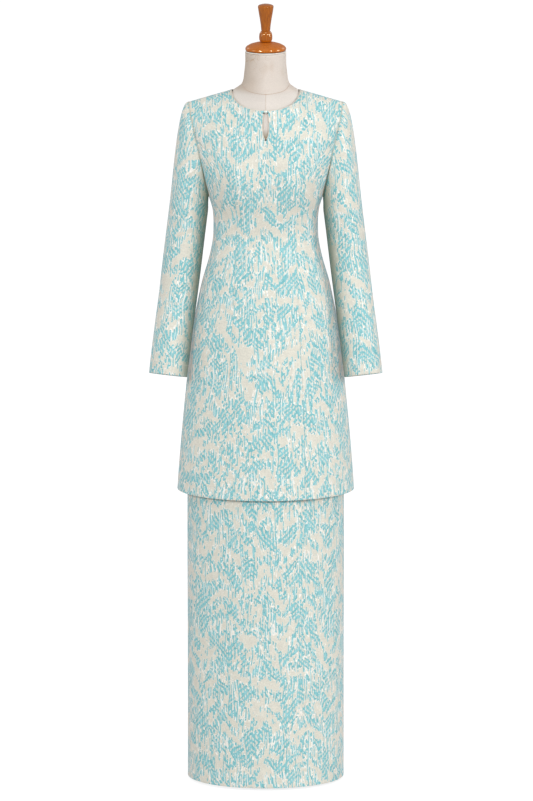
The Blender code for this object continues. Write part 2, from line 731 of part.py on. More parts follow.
def make_facing(collection):
    """The keyhole's facing, on the inside of the centre front with its edge just inside the slit."""
    opening = slit_outline(-FACING_SHOWS, -FACING_SHOWS, FACING_STEPS)
    outside = slit_outline(FACING_WIDTH, FACING_TOP_MARGIN, FACING_STEPS)
    near = CLOTH_WALL + FACING_CLEARANCE
    far = near + FACING_WALL
    mesh = bmesh.new()
    rings = []
    for outline, depth in ((opening, near), (outside, near), (outside, far), (opening, far)):
        ring = []
        for place in outline:
            point = front_at(place.x, place.y)
            ring.append(mesh.verts.new((point.x, point.y + depth, point.z)))
        rings.append(ring)
    for ring, following in zip(rings, rings[1:] + rings[:1]):
        for index in range(len(ring)):
            after = (index + 1) % len(ring)
            mesh.faces.new((ring[index], ring[after], following[after], following[index]))
    bmesh.ops.recalc_face_normals(mesh, faces=mesh.faces)
    data = bpy.data.meshes.new("keyhole_facing")
    mesh.to_mesh(data)
    mesh.free()
    add_object("keyhole_facing", data, collection, FACING_FINISH)


def make_skirt(collection):
    """The skirt's front and back panels and its waistband."""
    half_gap = SEAM_GAP / 2
    columns = spaced(-1.0, 1.0, SKIRT_COLUMNS)
    trim = (half_gap, half_gap, 0.0, half_gap)
    for name, front in (("skirt_front", True), ("skirt_back", False)):
        surface = half_tube(SKIRT_ROWS, front)
        mesh = wall_mesh(name, surface, columns, SKIRT_LEVELS, CLOTH_WALL, trim=trim)
        add_object(name, mesh, collection, CLOTH_FINISH)
    around = [step / WAISTBAND_STEPS for step in range(WAISTBAND_STEPS)]
    band_trim = (0.0, 0.0, half_gap, 0.0)
    tube = whole_tube(WAISTBAND_ROWS)
    band = wall_mesh("skirt_waistband", tube, around, (0.0, 1.0), CLOTH_WALL, True, band_trim)
    add_object("skirt_waistband", band, collection, CLOTH_FINISH)


def form_surface(around, along):
    """The dress form's skin, with the same bust as the tunic."""
    point = whole_tube(FORM_ROWS)(around, along)
    if point.y < 0:
        point.y -= bust_rise(abs(point.x), point.z)
    return point


def make_torso(collection):
    """The limbless torso and neck as one closed body."""
    mesh = bmesh.new()
    rings = []
    for along in form_levels():
        shares = [step / FORM_SEGMENTS for step in range(FORM_SEGMENTS)]
        rings.append([mesh.verts.new(form_surface(share, along)) for share in shares])
    for ring, above in zip(rings, rings[1:]):
        for step in range(FORM_SEGMENTS):
            after = (step + 1) % FORM_SEGMENTS
            mesh.faces.new((ring[step], ring[after], above[after], above[step]))
    mesh.faces.new(list(reversed(rings[0])))
    mesh.faces.new(rings[-1])
    bmesh.ops.recalc_face_normals(mesh, faces=mesh.faces)
    data = bpy.data.meshes.new("form_torso")
    mesh.to_mesh(data)
    mesh.free()
    add_object("form_torso", data, collection, COVER_FINISH)


def form_levels():
    """The heights of the torso's rings as shares, one for each row of its table."""
    low = FORM_ROWS[0].height
    high = FORM_ROWS[-1].height
    return [(row.height - low) / (high - low) for row in FORM_ROWS]


def turned_object(name, rows, collection, finish):
    """A turned piece: its profile swept round Z."""
    data = bpy.data.meshes.new(name)
    points = [(row.radius, 0.0, row.height) for row in rows]
    edges = [(index, index + 1) for index in range(len(points) - 1)]
    data.from_pydata(points, edges, [])
    item = add_object(name, data, collection, finish)
    turning = item.modifiers.new("turning", "SCREW")
    turning.steps = TURNED_STEPS
    turning.render_steps = TURNED_STEPS
    turning.use_merge_vertices = True
    turning.merge_threshold = SEAM_GAP / 6
    return item


def adopt(item, name, collection, finish):
    """Rename a new primitive, move it to the collection and give it its finish."""
    item.name = name
    item.data.name = name
    for holder in list(item.users_collection):
        holder.objects.unlink(item)
    collection.objects.link(item)
    item.data.materials.append(make_material(finish))
    item.data.shade_smooth()
    item.data.set_sharp_from_angle(angle=math.radians(SHARP_ANGLE))
    return item


def make_stand(collection):
    """Neck trim, turned cap and finial on top; pole and base inside the skirt."""
    trim_height = NECK_TOP_HEIGHT + SEAM_GAP + TRIM_THICKNESS / 2
    bpy.ops.mesh.primitive_torus_add(
        location=(0.0, 0.0, trim_height),
        major_radius=TRIM_RADIUS - TRIM_THICKNESS / 2,
        minor_radius=TRIM_THICKNESS / 2,
        major_segments=TURNED_STEPS,
        minor_segments=TRIM_SEGMENTS,
    )
    adopt(bpy.context.object, "form_neck_trim", collection, PIPING_FINISH)
    turned_object("form_neck_cap", CAP_ROWS, collection, WOOD_FINISH)
    turned_object("form_finial", FINIAL_ROWS, collection, WOOD_FINISH)
    foot = BASE_THICKNESS + SEAM_GAP
    top = FORM_BOTTOM - SEAM_GAP
    bpy.ops.mesh.primitive_cylinder_add(
        vertices=POLE_SEGMENTS,
        radius=POLE_RADIUS,
        depth=top - foot,
        location=(0.0, 0.0, (top + foot) / 2),
    )
    adopt(bpy.context.object, "form_pole", collection, STEEL_FINISH)
    bpy.ops.mesh.primitive_cylinder_add(
        vertices=BASE_SEGMENTS,
        radius=BASE_RADIUS,
        depth=BASE_THICKNESS,
        location=(0.0, 0.0, BASE_THICKNESS / 2),
    )
    base = adopt(bpy.context.object, "form_base", collection, STEEL_FINISH)
    rounding = base.modifiers.new("rounding", "BEVEL")
    rounding.width = BASE_ROUNDING
    rounding.segments = 2
    rounding.limit_method = "ANGLE"


def main():
    """Build every sub-part."""
    clear_scene()
    collection = make_collection(COLLECTION)
    cutters = make_collection(CUTTERS)
    make_tunic(collection, cutters)
    make_facing(collection)
    make_sleeves(collection)
    make_skirt(collection)
    make_torso(collection)
    make_stand(collection)


main()
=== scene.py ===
"""Looks of a baju kurung, a long tunic over a straight skirt, on a limbless dress form.

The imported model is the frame: every piece here is built in its place, in metres, +Z up, with the
front facing -Y. Left and right are the wearer's, so left is +X.
"""

import logging
import math
from collections.abc import Callable, Sequence
from dataclasses import dataclass
from enum import Enum

import bmesh
import bpy
import numpy as np
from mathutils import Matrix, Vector


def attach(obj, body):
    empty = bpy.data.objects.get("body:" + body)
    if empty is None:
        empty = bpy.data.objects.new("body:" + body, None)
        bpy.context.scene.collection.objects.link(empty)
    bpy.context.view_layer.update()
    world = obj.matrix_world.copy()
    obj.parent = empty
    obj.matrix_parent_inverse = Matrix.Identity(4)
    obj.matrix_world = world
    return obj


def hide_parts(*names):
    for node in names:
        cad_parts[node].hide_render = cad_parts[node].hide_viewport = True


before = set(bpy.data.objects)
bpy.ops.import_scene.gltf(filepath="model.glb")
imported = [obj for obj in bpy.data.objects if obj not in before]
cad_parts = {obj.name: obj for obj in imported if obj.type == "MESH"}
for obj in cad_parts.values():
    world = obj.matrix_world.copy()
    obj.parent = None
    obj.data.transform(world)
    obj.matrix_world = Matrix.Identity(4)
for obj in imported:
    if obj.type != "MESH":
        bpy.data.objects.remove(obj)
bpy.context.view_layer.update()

LOG = logging.getLogger("baju_kurung")
BODY = "root"
GRAIN = "grain"
TURN = 2.0 * math.pi
QUARTER = 0.5 * math.pi
NUDGE = 1e-4
MIRROR = (-1.0, 1.0, 1.0)
MIRRORED_DEPTH = 0.8
FOLD_ROWS = 7

Array = np.ndarray
Material = bpy.types.Material
Mesh = bpy.types.Mesh
Piece = bpy.types.Object
Point = tuple[float, float, float]
Colour = tuple[float, float, float]
Span = tuple[float, float]
Numbers = tuple[float, ...]
Line = tuple[Array, Array]
Socket = bpy.types.NodeSocket
Value = Socket | float


class Slot(Enum):
    """Names of four material slots; the pieces here are not given them."""

    BROCADE = "brocade"
    COVER = "form_cover"
    PIPING = "piping"
    WOOD = "wood"


class Side(Enum):
    """Which side of the wearer a piece is on, as the sign of X there."""

    LEFT = 1.0
    RIGHT = -1.0


# ---- curves and sections


def hermite(start: Array, end: Array, leaving: Array, reaching: Array, share: Array) -> Array:
    """Cubic between two ends with given slopes.

    Args:
        start: Value or point at share 0.
        end: Value or point at share 1.
        leaving: Slope at the start, over the whole span.
        reaching: Slope at the end, over the whole span.
        share: How far along, shaped to broadcast with the ends.

    Returns:
        The values or points at the shares.
    """
    squared = share * share
    cubed = squared * share
    return (
        start * (2 * cubed - 3 * squared + 1)
        + leaving * (cubed - 2 * squared + share)
        + end * (3 * squared - 2 * cubed)
        + reaching * (cubed - squared)
    )


def between(first: Array, last: Array, share: Array) -> Array:
    """The value or point at a share of the way from first to last."""
    return first + (last - first) * share


def unit(vectors: Array) -> Array:
    """Vectors at length 1, along the last axis."""
    length = np.linalg.norm(vectors, axis=-1, keepdims=True)
    return vectors / np.maximum(length, 1e-12)


def run_along(points: Array, axis: int = 0) -> Array:
    """How far along its row each point lies, for rows that follow an axis."""
    steps = np.linalg.norm(np.diff(points, axis=axis), axis=-1)
    return np.insert(np.cumsum(steps, axis=axis), 0, 0.0, axis=axis)


def slopes_along(points: Array, closed: bool, axis: int = 0) -> Array:
    """The way on from each point of a row, which may join up with itself."""
    if closed:
        return np.roll(points, -1, axis=axis) - np.roll(points, 1, axis=axis)
    return np.gradient(points, axis=axis)


def mirrored(points: Array) -> Array:
    """The right side's grid of points for the left one's, in the order that still faces out."""
    return points[:, ::-1] * np.array(MIRROR)


def turns(count: int) -> Array:
    """Angles spaced evenly round a whole turn."""
    return np.arange(count) / count * TURN


def finely(knots: Sequence[float], spacing: float) -> Array:
    """Places from the first knot to the last, hitting every knot, at most a spacing apart."""
    places: list[float] = []
    for low, high in zip(knots, knots[1:]):
        steps = max(1, math.ceil((high - low) / spacing - 1e-6))
        places.extend(np.linspace(low, high, steps, endpoint=False))
    places.append(knots[-1])
    return np.array(places)


class SmoothCurve:
    """A smooth curve through values at rising places."""

    def __init__(self, places: Sequence[float], values: Sequence[float]) -> None:
        """Order the knots, which rise or fall, and find the slope at each."""
        order = np.argsort(places)
        self.places = np.asarray(places, float)[order]
        self.values = np.asarray(values, float)[order]
        last = len(self.places) - 1
        before = np.maximum(np.arange(last + 1) - 1, 0)
        after = np.minimum(np.arange(last + 1) + 1, last)
        rise = self.values[after] - self.values[before]
        self.slopes = rise / (self.places[after] - self.places[before])

    def __call__(self, at: Array) -> Array:
        """The values at the given places."""
        at = np.asarray(at, float)
        low = np.clip(np.searchsorted(self.places, at) - 1, 0, len(self.places) - 2)
        span = self.places[low + 1] - self.places[low]
        share = (at - self.places[low]) / span
        return hermite(
            self.values[low],
            self.values[low + 1],
            self.slopes[low] * span,
            self.slopes[low + 1] * span,
            share,
        )


@dataclass(frozen=True)
class Section:
    """A level section: a rounded oval with its own front and back depth.

    power is 2 for an ellipse and more for a squarer oval. princess is how far out the princess
    seam lies, on the tunic.
    """

    height: float
    half_width: float
    front: float
    back: float
    power: float
    princess: float = 0.0


class Sections:
    """A body through level sections."""

    def __init__(self, rows: Sequence[Section]) -> None:
        """Make a smooth curve of each column of the table, its rows from the bottom up."""
        self.heights = [row.height for row in rows]
        self.half_width, self.front, self.back, self.power, self.princess = (
            SmoothCurve(self.heights, [getattr(row, column) for row in rows])
            for column in ("half_width", "front", "back", "power", "princess")
        )

    def points(self, height: Array, turn: Array, front: bool) -> Array:
        """Points of the left half of the body.

        Args:
            height: Heights of the points.
            turn: How far round each lies, from 0 at the middle to a quarter circle at the side.
            front: Whether they lie on the front half.

        Returns:
            The points, with the coordinates on the last axis.
        """
        height, turn = np.broadcast_arrays(np.asarray(height, float), np.asarray(turn, float))
        inverse = 2.0 / self.power(height)
        out = self.half_width(height) * np.maximum(np.sin(turn), 0.0) ** inverse
        depth = (self.front if front else self.back)(height)
        along = depth * np.maximum(np.cos(turn), 0.0) ** inverse
        return np.stack([out, -along if front else along, height], axis=-1)

    def ring(self, height: float, angle: Array) -> Array:
        """A whole level ring, the angle counted from the front towards the left."""
        turn = np.arcsin(np.clip(np.abs(np.sin(angle)), 0.0, 1.0))
        front = self.points(height, turn, True)
        back = self.points(height, turn, False)
        points = np.where((np.cos(angle) >= 0)[..., None], front, back)
        points[..., 0] *= np.sign(np.sin(angle))
        return points


@dataclass(frozen=True)
class Bust:
    """The soft rise of the front over the bust, one on each side of the middle."""

    out: float = 0.068
    height: float = 1.292
    rise: float = 0.008
    reach_across: float = 0.058
    reach_up: float = 0.095

    def lift(self, points: Array) -> Array:
        """Front points moved forward where the bust lifts them."""
        across = (np.abs(points[..., 0]) - self.out) / self.reach_across
        upward = (points[..., 2] - self.height) / self.reach_up
        room = np.maximum(0.0, 1.0 - across**2 - upward**2)
        lifted = points.copy()
        lifted[..., 1] -= self.rise * room**2 * (points[..., 1] < 0)
        return lifted


# ---- folds in the cloth


@dataclass(frozen=True)
class Crease:
    """A soft fold along a line from start to end, fading towards both.

    depth is how far the cloth stands out along it, less than nothing for a trough, and bow is how
    far its middle strays sideways and down.
    """

    start: Point
    end: Point
    width: float
    depth: float
    bow: Point = (0.0, 0.0, 0.0)

    def rise(self, points: Array) -> Array:
        """How far the cloth moves out at each point."""
        start, end, bow = (np.array(place) for place in (self.start, self.end, self.bow))
        way = end - start
        share = np.clip(((points - start) @ way) / (way @ way), 0.0, 1.0)
        middle = 4.0 * share * (1.0 - share)
        nearest = start + share[..., None] * way + middle[..., None] * bow
        distance = np.linalg.norm(points - nearest, axis=-1)
        return self.depth * middle**0.5 * np.exp(-((distance / self.width) ** 2))

    def on_the_right(self) -> "Crease":
        """The same fold, mirrored and a little shallower."""
        start, end, bow = ((-x, y, z) for x, y, z in (self.start, self.end, self.bow))
        return Crease(start, end, self.width, self.depth * MIRRORED_DEPTH, bow)


def on_both_sides(creases: Sequence[Crease]) -> list[Crease]:
    """The left side's folds, each followed by its mirror image."""
    return [fold for crease in creases for fold in (crease, crease.on_the_right())]


# ---- cloth as a grid


def mesh_of(name: str, points: Array, faces: Sequence[Sequence[int]]) -> Mesh:
    """A new mesh of points and faces."""
    data = bpy.data.meshes.new(name)
    data.from_pydata(points.reshape(-1, 3).tolist(), [], faces)
    return data


class ClothGrid:
    """A piece of cloth as a grid of points, rows along it and columns across it.

    Its grain is where each point lies on the flat cloth, in metres, and closes past the last
    column on a tube.
    """

    def __init__(self, points: Array, closed: bool = False) -> None:
        """Measure the cloth to lay the grain.

        Args:
            points: Rows x columns x 3, the columns running round so that rows x columns faces out.
            closed: Whether the last column joins the first.
        """
        self.points = points
        self.closed = closed
        ring = self.joined_up()
        middle = ring.shape[1] // 2
        across = run_along(ring, axis=1)
        across -= across[:, middle : middle + 1]
        along = run_along(ring[:, middle])[:, None]
        self.grain = np.stack([across, np.broadcast_to(along, across.shape)], axis=-1)

    def joined_up(self) -> Array:
        """The points, on a tube with the first column once more after the last."""
        return np.concatenate([self.points, self.points[:, : int(self.closed)]], axis=1)

    def measure_columns(self, level: int) -> "ClothGrid":
        """Lay the grain along each column by itself, from a level row.

        Args:
            level: The row that lies level on the flat cloth. Those above it are as wide as it is.

        Returns:
            The grid itself.
        """
        along = run_along(self.joined_up())
        self.grain[..., 1] = along - along[level]
        self.grain[:level, :, 0] = self.grain[level, :, 0]
        return self

    def keep_upright(self, level: int) -> "ClothGrid":
        """Keep the threads upright past a level row, where the rows bend up to the edge.

        Args:
            level: The last row that lies level on the flat cloth.

        Returns:
            The grid itself.
        """
        start, above = self.points[level, :, 0], self.points[level:, :, 0]
        facing = 1.0 if start[-1] > start[0] else -1.0
        inside = np.clip(above, start.min(), start.max())
        threads = self.grain[level, :, 0]
        across = np.interp(facing * inside, facing * start, threads)
        self.grain[level:, :, 0] = across + facing * (above - inside)
        self.grain[level:, :, 1] = self.grain[level, 0, 1] + run_along(self.points[level:, :, 1:])
        return self

    def line(self, distance: float, at_end: bool = False) -> Line:
        """A line across the cloth at a distance from its first row, or from its last.

        Args:
            distance: How far from the edge it lies, measured on each column.
            at_end: Whether it is the last row that counts as the edge.

        Returns:
            The line's points and the cloth's outward directions there.
        """
        points, normals = self.points, self.normals()
        if at_end:
            points, normals = points[::-1], normals[::-1]
        run = run_along(points)
        after = np.clip((run < distance).sum(axis=0), 1, len(points) - 1)
        column = np.arange(points.shape[1])
        low, high = run[after - 1, column], run[after, column]
        share = ((distance - low) / (high - low))[:, None]
        place = between(points[after - 1, column], points[after, column], share)
        outward = between(normals[after - 1, column], normals[after, column], share)
        return place, unit(outward)

    def shift_grain(self, across: float, along: float, upside_down: bool = False) -> "ClothGrid":
        """Move the piece on the flat cloth, or turn it so that its rows run down the cloth."""
        if upside_down:
            self.grain[..., 1] *= -1.0
        self.grain[..., 0] += across
        self.grain[..., 1] += along
        return self

    def normals(self) -> Array:
        """The outward direction at each point."""
        sideways = slopes_along(self.points, self.closed, axis=1)
        return unit(np.cross(sideways, np.gradient(self.points, axis=0)))

    def crease(self, creases: Sequence[Crease]) -> "ClothGrid":
        """Move the points out or in along the folds."""
        return self.move_out(sum(fold.rise(self.points) for fold in creases))

    def move_out(self, rise: Array) -> "ClothGrid":
        """Move each point outwards by its rise."""
        self.points = self.points + self.normals() * rise[..., None]
        return self

    def sink_seams(self, depth: float, width: float, first: float = 0.0,
                   last: Array | float = 0.0) -> "ClothGrid":
        """Let the cloth dip at the seams, which are its first and last columns and its ends.

        Args:
            depth: How deep the dip is at the seam.
            width: How far from the seam it has mostly gone.
            first: How much of a seam the first row is.
            last: How much of a seam the last row is, for all columns or for each.

        Returns:
            The grid itself.
        """

        def dip(distance: Array) -> Array:
            """How much of its depth a dip has at a distance from its seam."""
            return np.exp(-((distance / width) ** 2))

        across, along = np.moveaxis(self.grain[:, : self.points.shape[1]], -1, 0)
        at_sides = np.maximum(dip(across - across[:, :1]), dip(across - across[:, -1:]))
        at_ends = np.maximum(dip(along - along[:1]) * first, dip(along - along[-1:]) * last)
        return self.move_out(-depth * np.maximum(at_sides, at_ends))

    def turn_edge(self, depth: float, radius: float, at_end: bool = False) -> "ClothGrid":
        """Fold the first rows, or the last, to the inside as a hem.

        Args:
            depth: How far up the inside the hem reaches.
            radius: The roundness of the fold.
            at_end: Whether it is the last row that is turned.

        Returns:
            The grid itself.
        """
        points, normals, grain = self.points, self.normals(), self.grain
        if at_end:
            points, normals, grain = points[::-1], normals[::-1], grain[::-1]
        away = unit(points[0] - points[1])
        edge = points[0] - away * radius
        along = np.abs(grain[:, 0, 1] - grain[0, 0, 1])
        inner = np.flatnonzero((along > 1.5 * radius) & (along <= depth))[::-1]
        rows = [points[index] - normals[index] * 2 * radius for index in inner]
        cloth = [2 * grain[0] - grain[index] for index in inner]
        for angle in np.linspace(math.pi, 0.0, FOLD_ROWS):
            swing = away * radius * math.sin(angle) - normals[0] * radius * (1 - math.cos(angle))
            rows.append(edge + swing)
            cloth.append(grain[0] + (grain[0] - grain[1]) * (angle / math.pi))
        for row in cloth[: len(inner)]:
            row[..., 0] = grain[0, :, 0]
        keep = along > radius * 1.2
        points = np.concatenate([np.array(rows), points[keep]])
        grain = np.concatenate([np.array(cloth), grain[keep]])
        if at_end:
            points, grain = points[::-1], grain[::-1]
        self.points, self.grain = points, grain
        return self

    def mesh(self, name: str) -> Mesh:
        """The cloth's outer face as a new mesh with its grain as a UV map."""
        rows, columns = self.points.shape[:2]
        spans = columns if self.closed else columns - 1
        row, column = np.meshgrid(np.arange(rows - 1), np.arange(spans), indexing="ij")
        corner_rows = np.stack([row, row, row + 1, row + 1], axis=-1).reshape(-1, 4)
        corner_columns = np.stack([column, column + 1, column + 1, column], axis=-1).reshape(-1, 4)
        faces = corner_rows * columns + corner_columns % columns
        data = mesh_of(name, self.points, faces.tolist())
        layer = data.uv_layers.new(name=GRAIN)
        grain = self.grain[corner_rows, corner_columns]
        layer.data.foreach_set("uv", grain.astype(np.float32).ravel())
        return data


def add_piece(name: str, data: Mesh, materials: Sequence[Material],
              replaced: Sequence[str] = ()) -> Piece:
    """Put a mesh in the scene as a piece that rides on the body.

    Args:
        name: The piece's name.
        data: Its mesh.
        materials: Its materials, the first for its outer face.
        replaced: The CAD nodes that it stands for.

    Returns:
        The new object.
    """
    data.materials.clear()
    for material in materials:
        data.materials.append(material)
    data.shade_smooth()
    piece = bpy.data.objects.new(name, data)
    bpy.context.scene.collection.objects.link(piece)
    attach(piece, BODY)
    if replaced:
        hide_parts(*replaced)
    triangles = sum(len(polygon.vertices) - 2 for polygon in data.polygons)
    LOG.info("%s: %d triangles before its modifiers", name, triangles)
    return piece


def rings_round(line: Array, side: Array, rise: Array, radius: float, sides: int) -> Array:
    """Rings of points round a line, each counted from its side towards its rise."""
    angles = turns(sides)[:, None]
    ring = np.cos(angles) * side[:, None] + np.sin(angles) * rise[:, None]
    return line[:, None] + ring * radius


def cord_faces(rings: int, sides: int, closed: bool = False) -> list[tuple[int, ...]]:
    """The faces of a cord of rings.

    Args:
        rings: How many rings it has.
        sides: How many points each ring has.
        closed: Whether the last ring joins the first.

    Returns:
        The corners of each face, an end cap on each open end last.
    """
    faces: list[tuple[int, ...]] = []
    for ring in range(rings if closed else rings - 1):
        low, high = ring * sides, (ring + 1) % rings * sides
        for turn in range(sides):
            beside = (turn + 1) % sides
            faces.append((low + turn, high + turn, high + beside, low + beside))
    if not closed:
        end = rings * sides - 1
        faces += [tuple(range(sides)), tuple(range(end, end - sides, -1))]
    return faces


def tube_mesh(name: str, path: Array, radius: float, sides: int = 10,
              closed: bool = False) -> Mesh:
    """A round cord along a path.

    Args:
        name: The mesh's name.
        path: The middle line's points.
        radius: The cord's radius.
        sides: How many sides it has.
        closed: Whether it joins up with itself.

    Returns:
        The new mesh, with capped ends where it is open.
    """
    onward = unit(slopes_along(path, closed))
    upright = np.where(np.abs(onward[:, 2:]) > 0.95, [[0.0, 1.0, 0.0]], [[0.0, 0.0, 1.0]])
    side = unit(np.cross(onward, upright))
    points = rings_round(path, side, np.cross(side, onward), radius, sides)
    return mesh_of(name, points, cord_faces(len(path), sides, closed))


@dataclass(frozen=True)
class StitchRow:
    """A row of short stitches that dip into the cloth at both ends.

    Each has a ring at every share of its length, lifted by so many of its radii off the cloth.
    """

    pitch: float = 0.0030
    length: float = 0.0021
    radius: float = 0.00020
    sides: int = 5
    shares: Numbers = (-0.5, -0.32, 0.32, 0.5)
    lifts: Numbers = (-0.6, 0.7, 0.7, -0.6)

    def mesh(self, name: str, path: Array, outward: Array) -> Mesh:
        """The stitches along a path.

        Args:
            name: The mesh's name.
            path: The points that the row follows, on the cloth.
            outward: The cloth's outward direction at each.

        Returns:
            The new mesh.
        """
        run = run_along(path)

        def at_run(places: Array, values: Array) -> Array:
            """The path's values at places along it."""
            return np.stack([np.interp(places, run, column) for column in values.T], axis=-1)

        count = max(1, int((run[-1] - self.length) / self.pitch))
        starts = (run[-1] - count * self.pitch) / 2 + (np.arange(count) + 0.5) * self.pitch
        places = (starts[:, None] + np.array(self.shares) * self.length).ravel()
        upward = unit(at_run(places, outward))
        onward = at_run(places + NUDGE, path) - at_run(places - NUDGE, path)
        lifts = np.tile(np.array(self.lifts) * self.radius, count)[:, None]
        middle = at_run(places, path) + upward * lifts
        side = unit(np.cross(onward, upward))
        points = rings_round(middle, side, upward, self.radius, self.sides)
        stitch = len(self.shares) * self.sides
        faces = [
            tuple(first + corner for corner in face)
            for first in range(0, count * stitch, stitch)
            for face in cord_faces(len(self.shares), self.sides)
        ]
        return mesh_of(name, points, faces)


def joined(name: str, parts: Sequence[Mesh]) -> Mesh:
    """One mesh made of several, which are then deleted."""
    whole = bmesh.new()
    for part in parts:
        whole.from_mesh(part)
        bpy.data.meshes.remove(part)
    data = bpy.data.meshes.new(name)
    whole.to_mesh(data)
    whole.free()
    return data


def fill_ends(data: Mesh, sides: int) -> None:
    """Close the open ends of a tube of so many sides."""
    mesh = bmesh.new()
    mesh.from_mesh(data)
    bmesh.ops.holes_fill(mesh, edges=mesh.edges, sides=sides)
    mesh.to_mesh(data)
    mesh.free()


# ---- finishes


def shade(code: str) -> Colour:
    """A colour from its six-figure screen code, in linear light."""
    parts = (part / 255 for part in bytes.fromhex(code))
    red, green, blue = (
        part / 12.92 if part <= 0.04045 else ((part + 0.055) / 1.055) ** 2.4 for part in parts
    )
    return red, green, blue


@dataclass(frozen=True)
class Mottle:
    """Noise in spots of a width and a length, in a layer of its own."""

    wide: float
    long: float
    layer: float
    detail: float = 0.0


class ShaderSheet:
    """A material's node tree, with a method for each kind of node."""

    def __init__(self, name: str) -> None:
        """Start a material with a plain Principled shader."""
        self.material = bpy.data.materials.new(name)
        self.material.use_nodes = True
        self.tree = self.material.node_tree
        self.shader = self.tree.nodes["Principled BSDF"]

    def node(self, kind: str) -> bpy.types.Node:
        """A new node of a kind, the common part of its type's name left out."""
        return self.tree.nodes.new(f"ShaderNode{kind}")

    def put(self, socket: Socket, value: Value | Numbers) -> None:
        """Link a socket to another one, or set its number."""
        if isinstance(value, Socket):
            self.tree.links.new(value, socket)
        else:
            socket.default_value = value

    def math(self, operation: str, *values: Value) -> Socket:
        """A Math node of one operation."""
        node = self.node("Math")
        node.operation = operation
        for socket, value in zip(node.inputs, values):
            self.put(socket, value)
        return node.outputs[0]

    def add(self, first: Value, second: Value) -> Socket:
        """The sum of two values."""
        return self.math("ADD", first, second)

    def less(self, first: Value, second: Value) -> Socket:
        """The first value less the second."""
        return self.math("SUBTRACT", first, second)

    def times(self, first: Value, second: Value) -> Socket:
        """The product of two values."""
        return self.math("MULTIPLY", first, second)

    def wave(self, place: Socket, length: float) -> Socket:
        """A cosine wave of a length along a place."""
        return self.math("COSINE", self.times(place, TURN / length))

    def vector(self, x: Value, y: Value, z: Value = 0.0) -> Socket:
        """A vector of three values."""
        node = self.node("CombineXYZ")
        for socket, value in zip(node.inputs, (x, y, z)):
            self.put(socket, value)
        return node.outputs[0]

    def noise(self, vector: Socket, detail: float = 0.0, scale: float = 1.0) -> Socket:
        """Smooth noise about a half."""
        node = self.node("TexNoise")
        for socket, value in (("Vector", vector), ("Scale", scale), ("Detail", detail)):
            self.put(node.inputs[socket], value)
        return node.outputs[0]

    def mottled(self, x: Socket, y: Socket, mottle: Mottle) -> Socket:
        """Noise about a half, in spots that are wide along x and long along y."""
        wide, long = self.times(x, 1.0 / mottle.wide), self.times(y, 1.0 / mottle.long)
        return self.noise(self.vector(wide, long, mottle.layer), mottle.detail)

    def swing(self, noise: Socket, amount: float) -> Socket:
        """Noise about nothing, at a strength."""
        return self.times(self.less(noise, 0.5), amount)

    def remap(self, value: Socket, low: float, high: float, first: float = 0.0,
              last: float = 1.0, smooth: bool = True) -> Socket:
        """A value between low and high as one between first and last."""
        node = self.node("MapRange")
        node.interpolation_type = "SMOOTHSTEP" if smooth else "LINEAR"
        for socket, number in zip(node.inputs, (value, low, high, first, last)):
            self.put(socket, number)
        return node.outputs[0]

    def between(self, share: Socket, first: Socket, last: Socket) -> Socket:
        """The value at a share of the way from first to last."""
        return self.math("MULTIPLY_ADD", share, self.less(last, first), first)

    def ramp(self, value: Socket, stops: Sequence[tuple[float, Colour]]) -> Socket:
        """A colour for each value, by way of stops."""
        node = self.node("ValToRGB")
        self.put(node.inputs[0], value)
        elements = node.color_ramp.elements
        elements.remove(elements[-1])
        elements[0].position = stops[0][0]
        elements[0].color = (*stops[0][1], 1.0)
        for place, colour in stops[1:]:
            elements.new(place).color = (*colour, 1.0)
        return node.outputs[0]

    def mix(self, factor: Value, first: Socket | Colour, second: Socket | Colour,
            blend: str = "MIX") -> Socket:
        """Two colours mixed."""
        node = self.node("Mix")
        node.data_type = "RGBA"
        node.blend_type = blend
        self.put(node.inputs[0], factor)
        for socket, colour in zip(node.inputs[6:8], (first, second)):
            self.put(socket, colour if isinstance(colour, Socket) else (*colour, 1.0))
        return node.outputs[2]

    def paint(self, colour: Socket) -> None:
        """Give the shader its colour."""
        self.put(self.shader.inputs["Base Color"], colour)

    def toned(self, colour: Socket | Colour, tone: Socket) -> Socket:
        """A colour made lighter or darker by a tone, which is 1 for no change."""
        return self.mix(1.0, colour, self.vector(tone, tone, tone), "MULTIPLY")

    def bump(self, height: Socket, distance: float) -> None:
        """Relief on the shader from a height, the distance in metres."""
        node = self.node("Bump")
        node.inputs["Distance"].default_value = distance
        self.put(node.inputs["Height"], height)
        self.put(self.shader.inputs["Normal"], node.outputs[0])

    def parts(self, vector: Socket) -> tuple[Socket, Socket, Socket]:
        """The three values of a vector."""
        node = self.node("SeparateXYZ")
        self.put(node.inputs[0], vector)
        return tuple(node.outputs)

    def grain(self) -> tuple[Socket, Socket]:
        """Across and along the flat cloth, in metres."""
        node = self.node("UVMap")
        node.uv_map = GRAIN
        return self.parts(node.outputs[0])[:2]

    def place(self) -> tuple[Socket, Socket, Socket]:
        """X, Y and Z of a point of the object, in metres."""
        return self.parts(self.node("TexCoord").outputs["Object"])

    def set(self, **values: float | Numbers) -> None:
        """Set the shader's own sockets, their names written with underscores."""
        for name, value in values.items():
            self.shader.inputs[name.replace("_", " ")].default_value = value


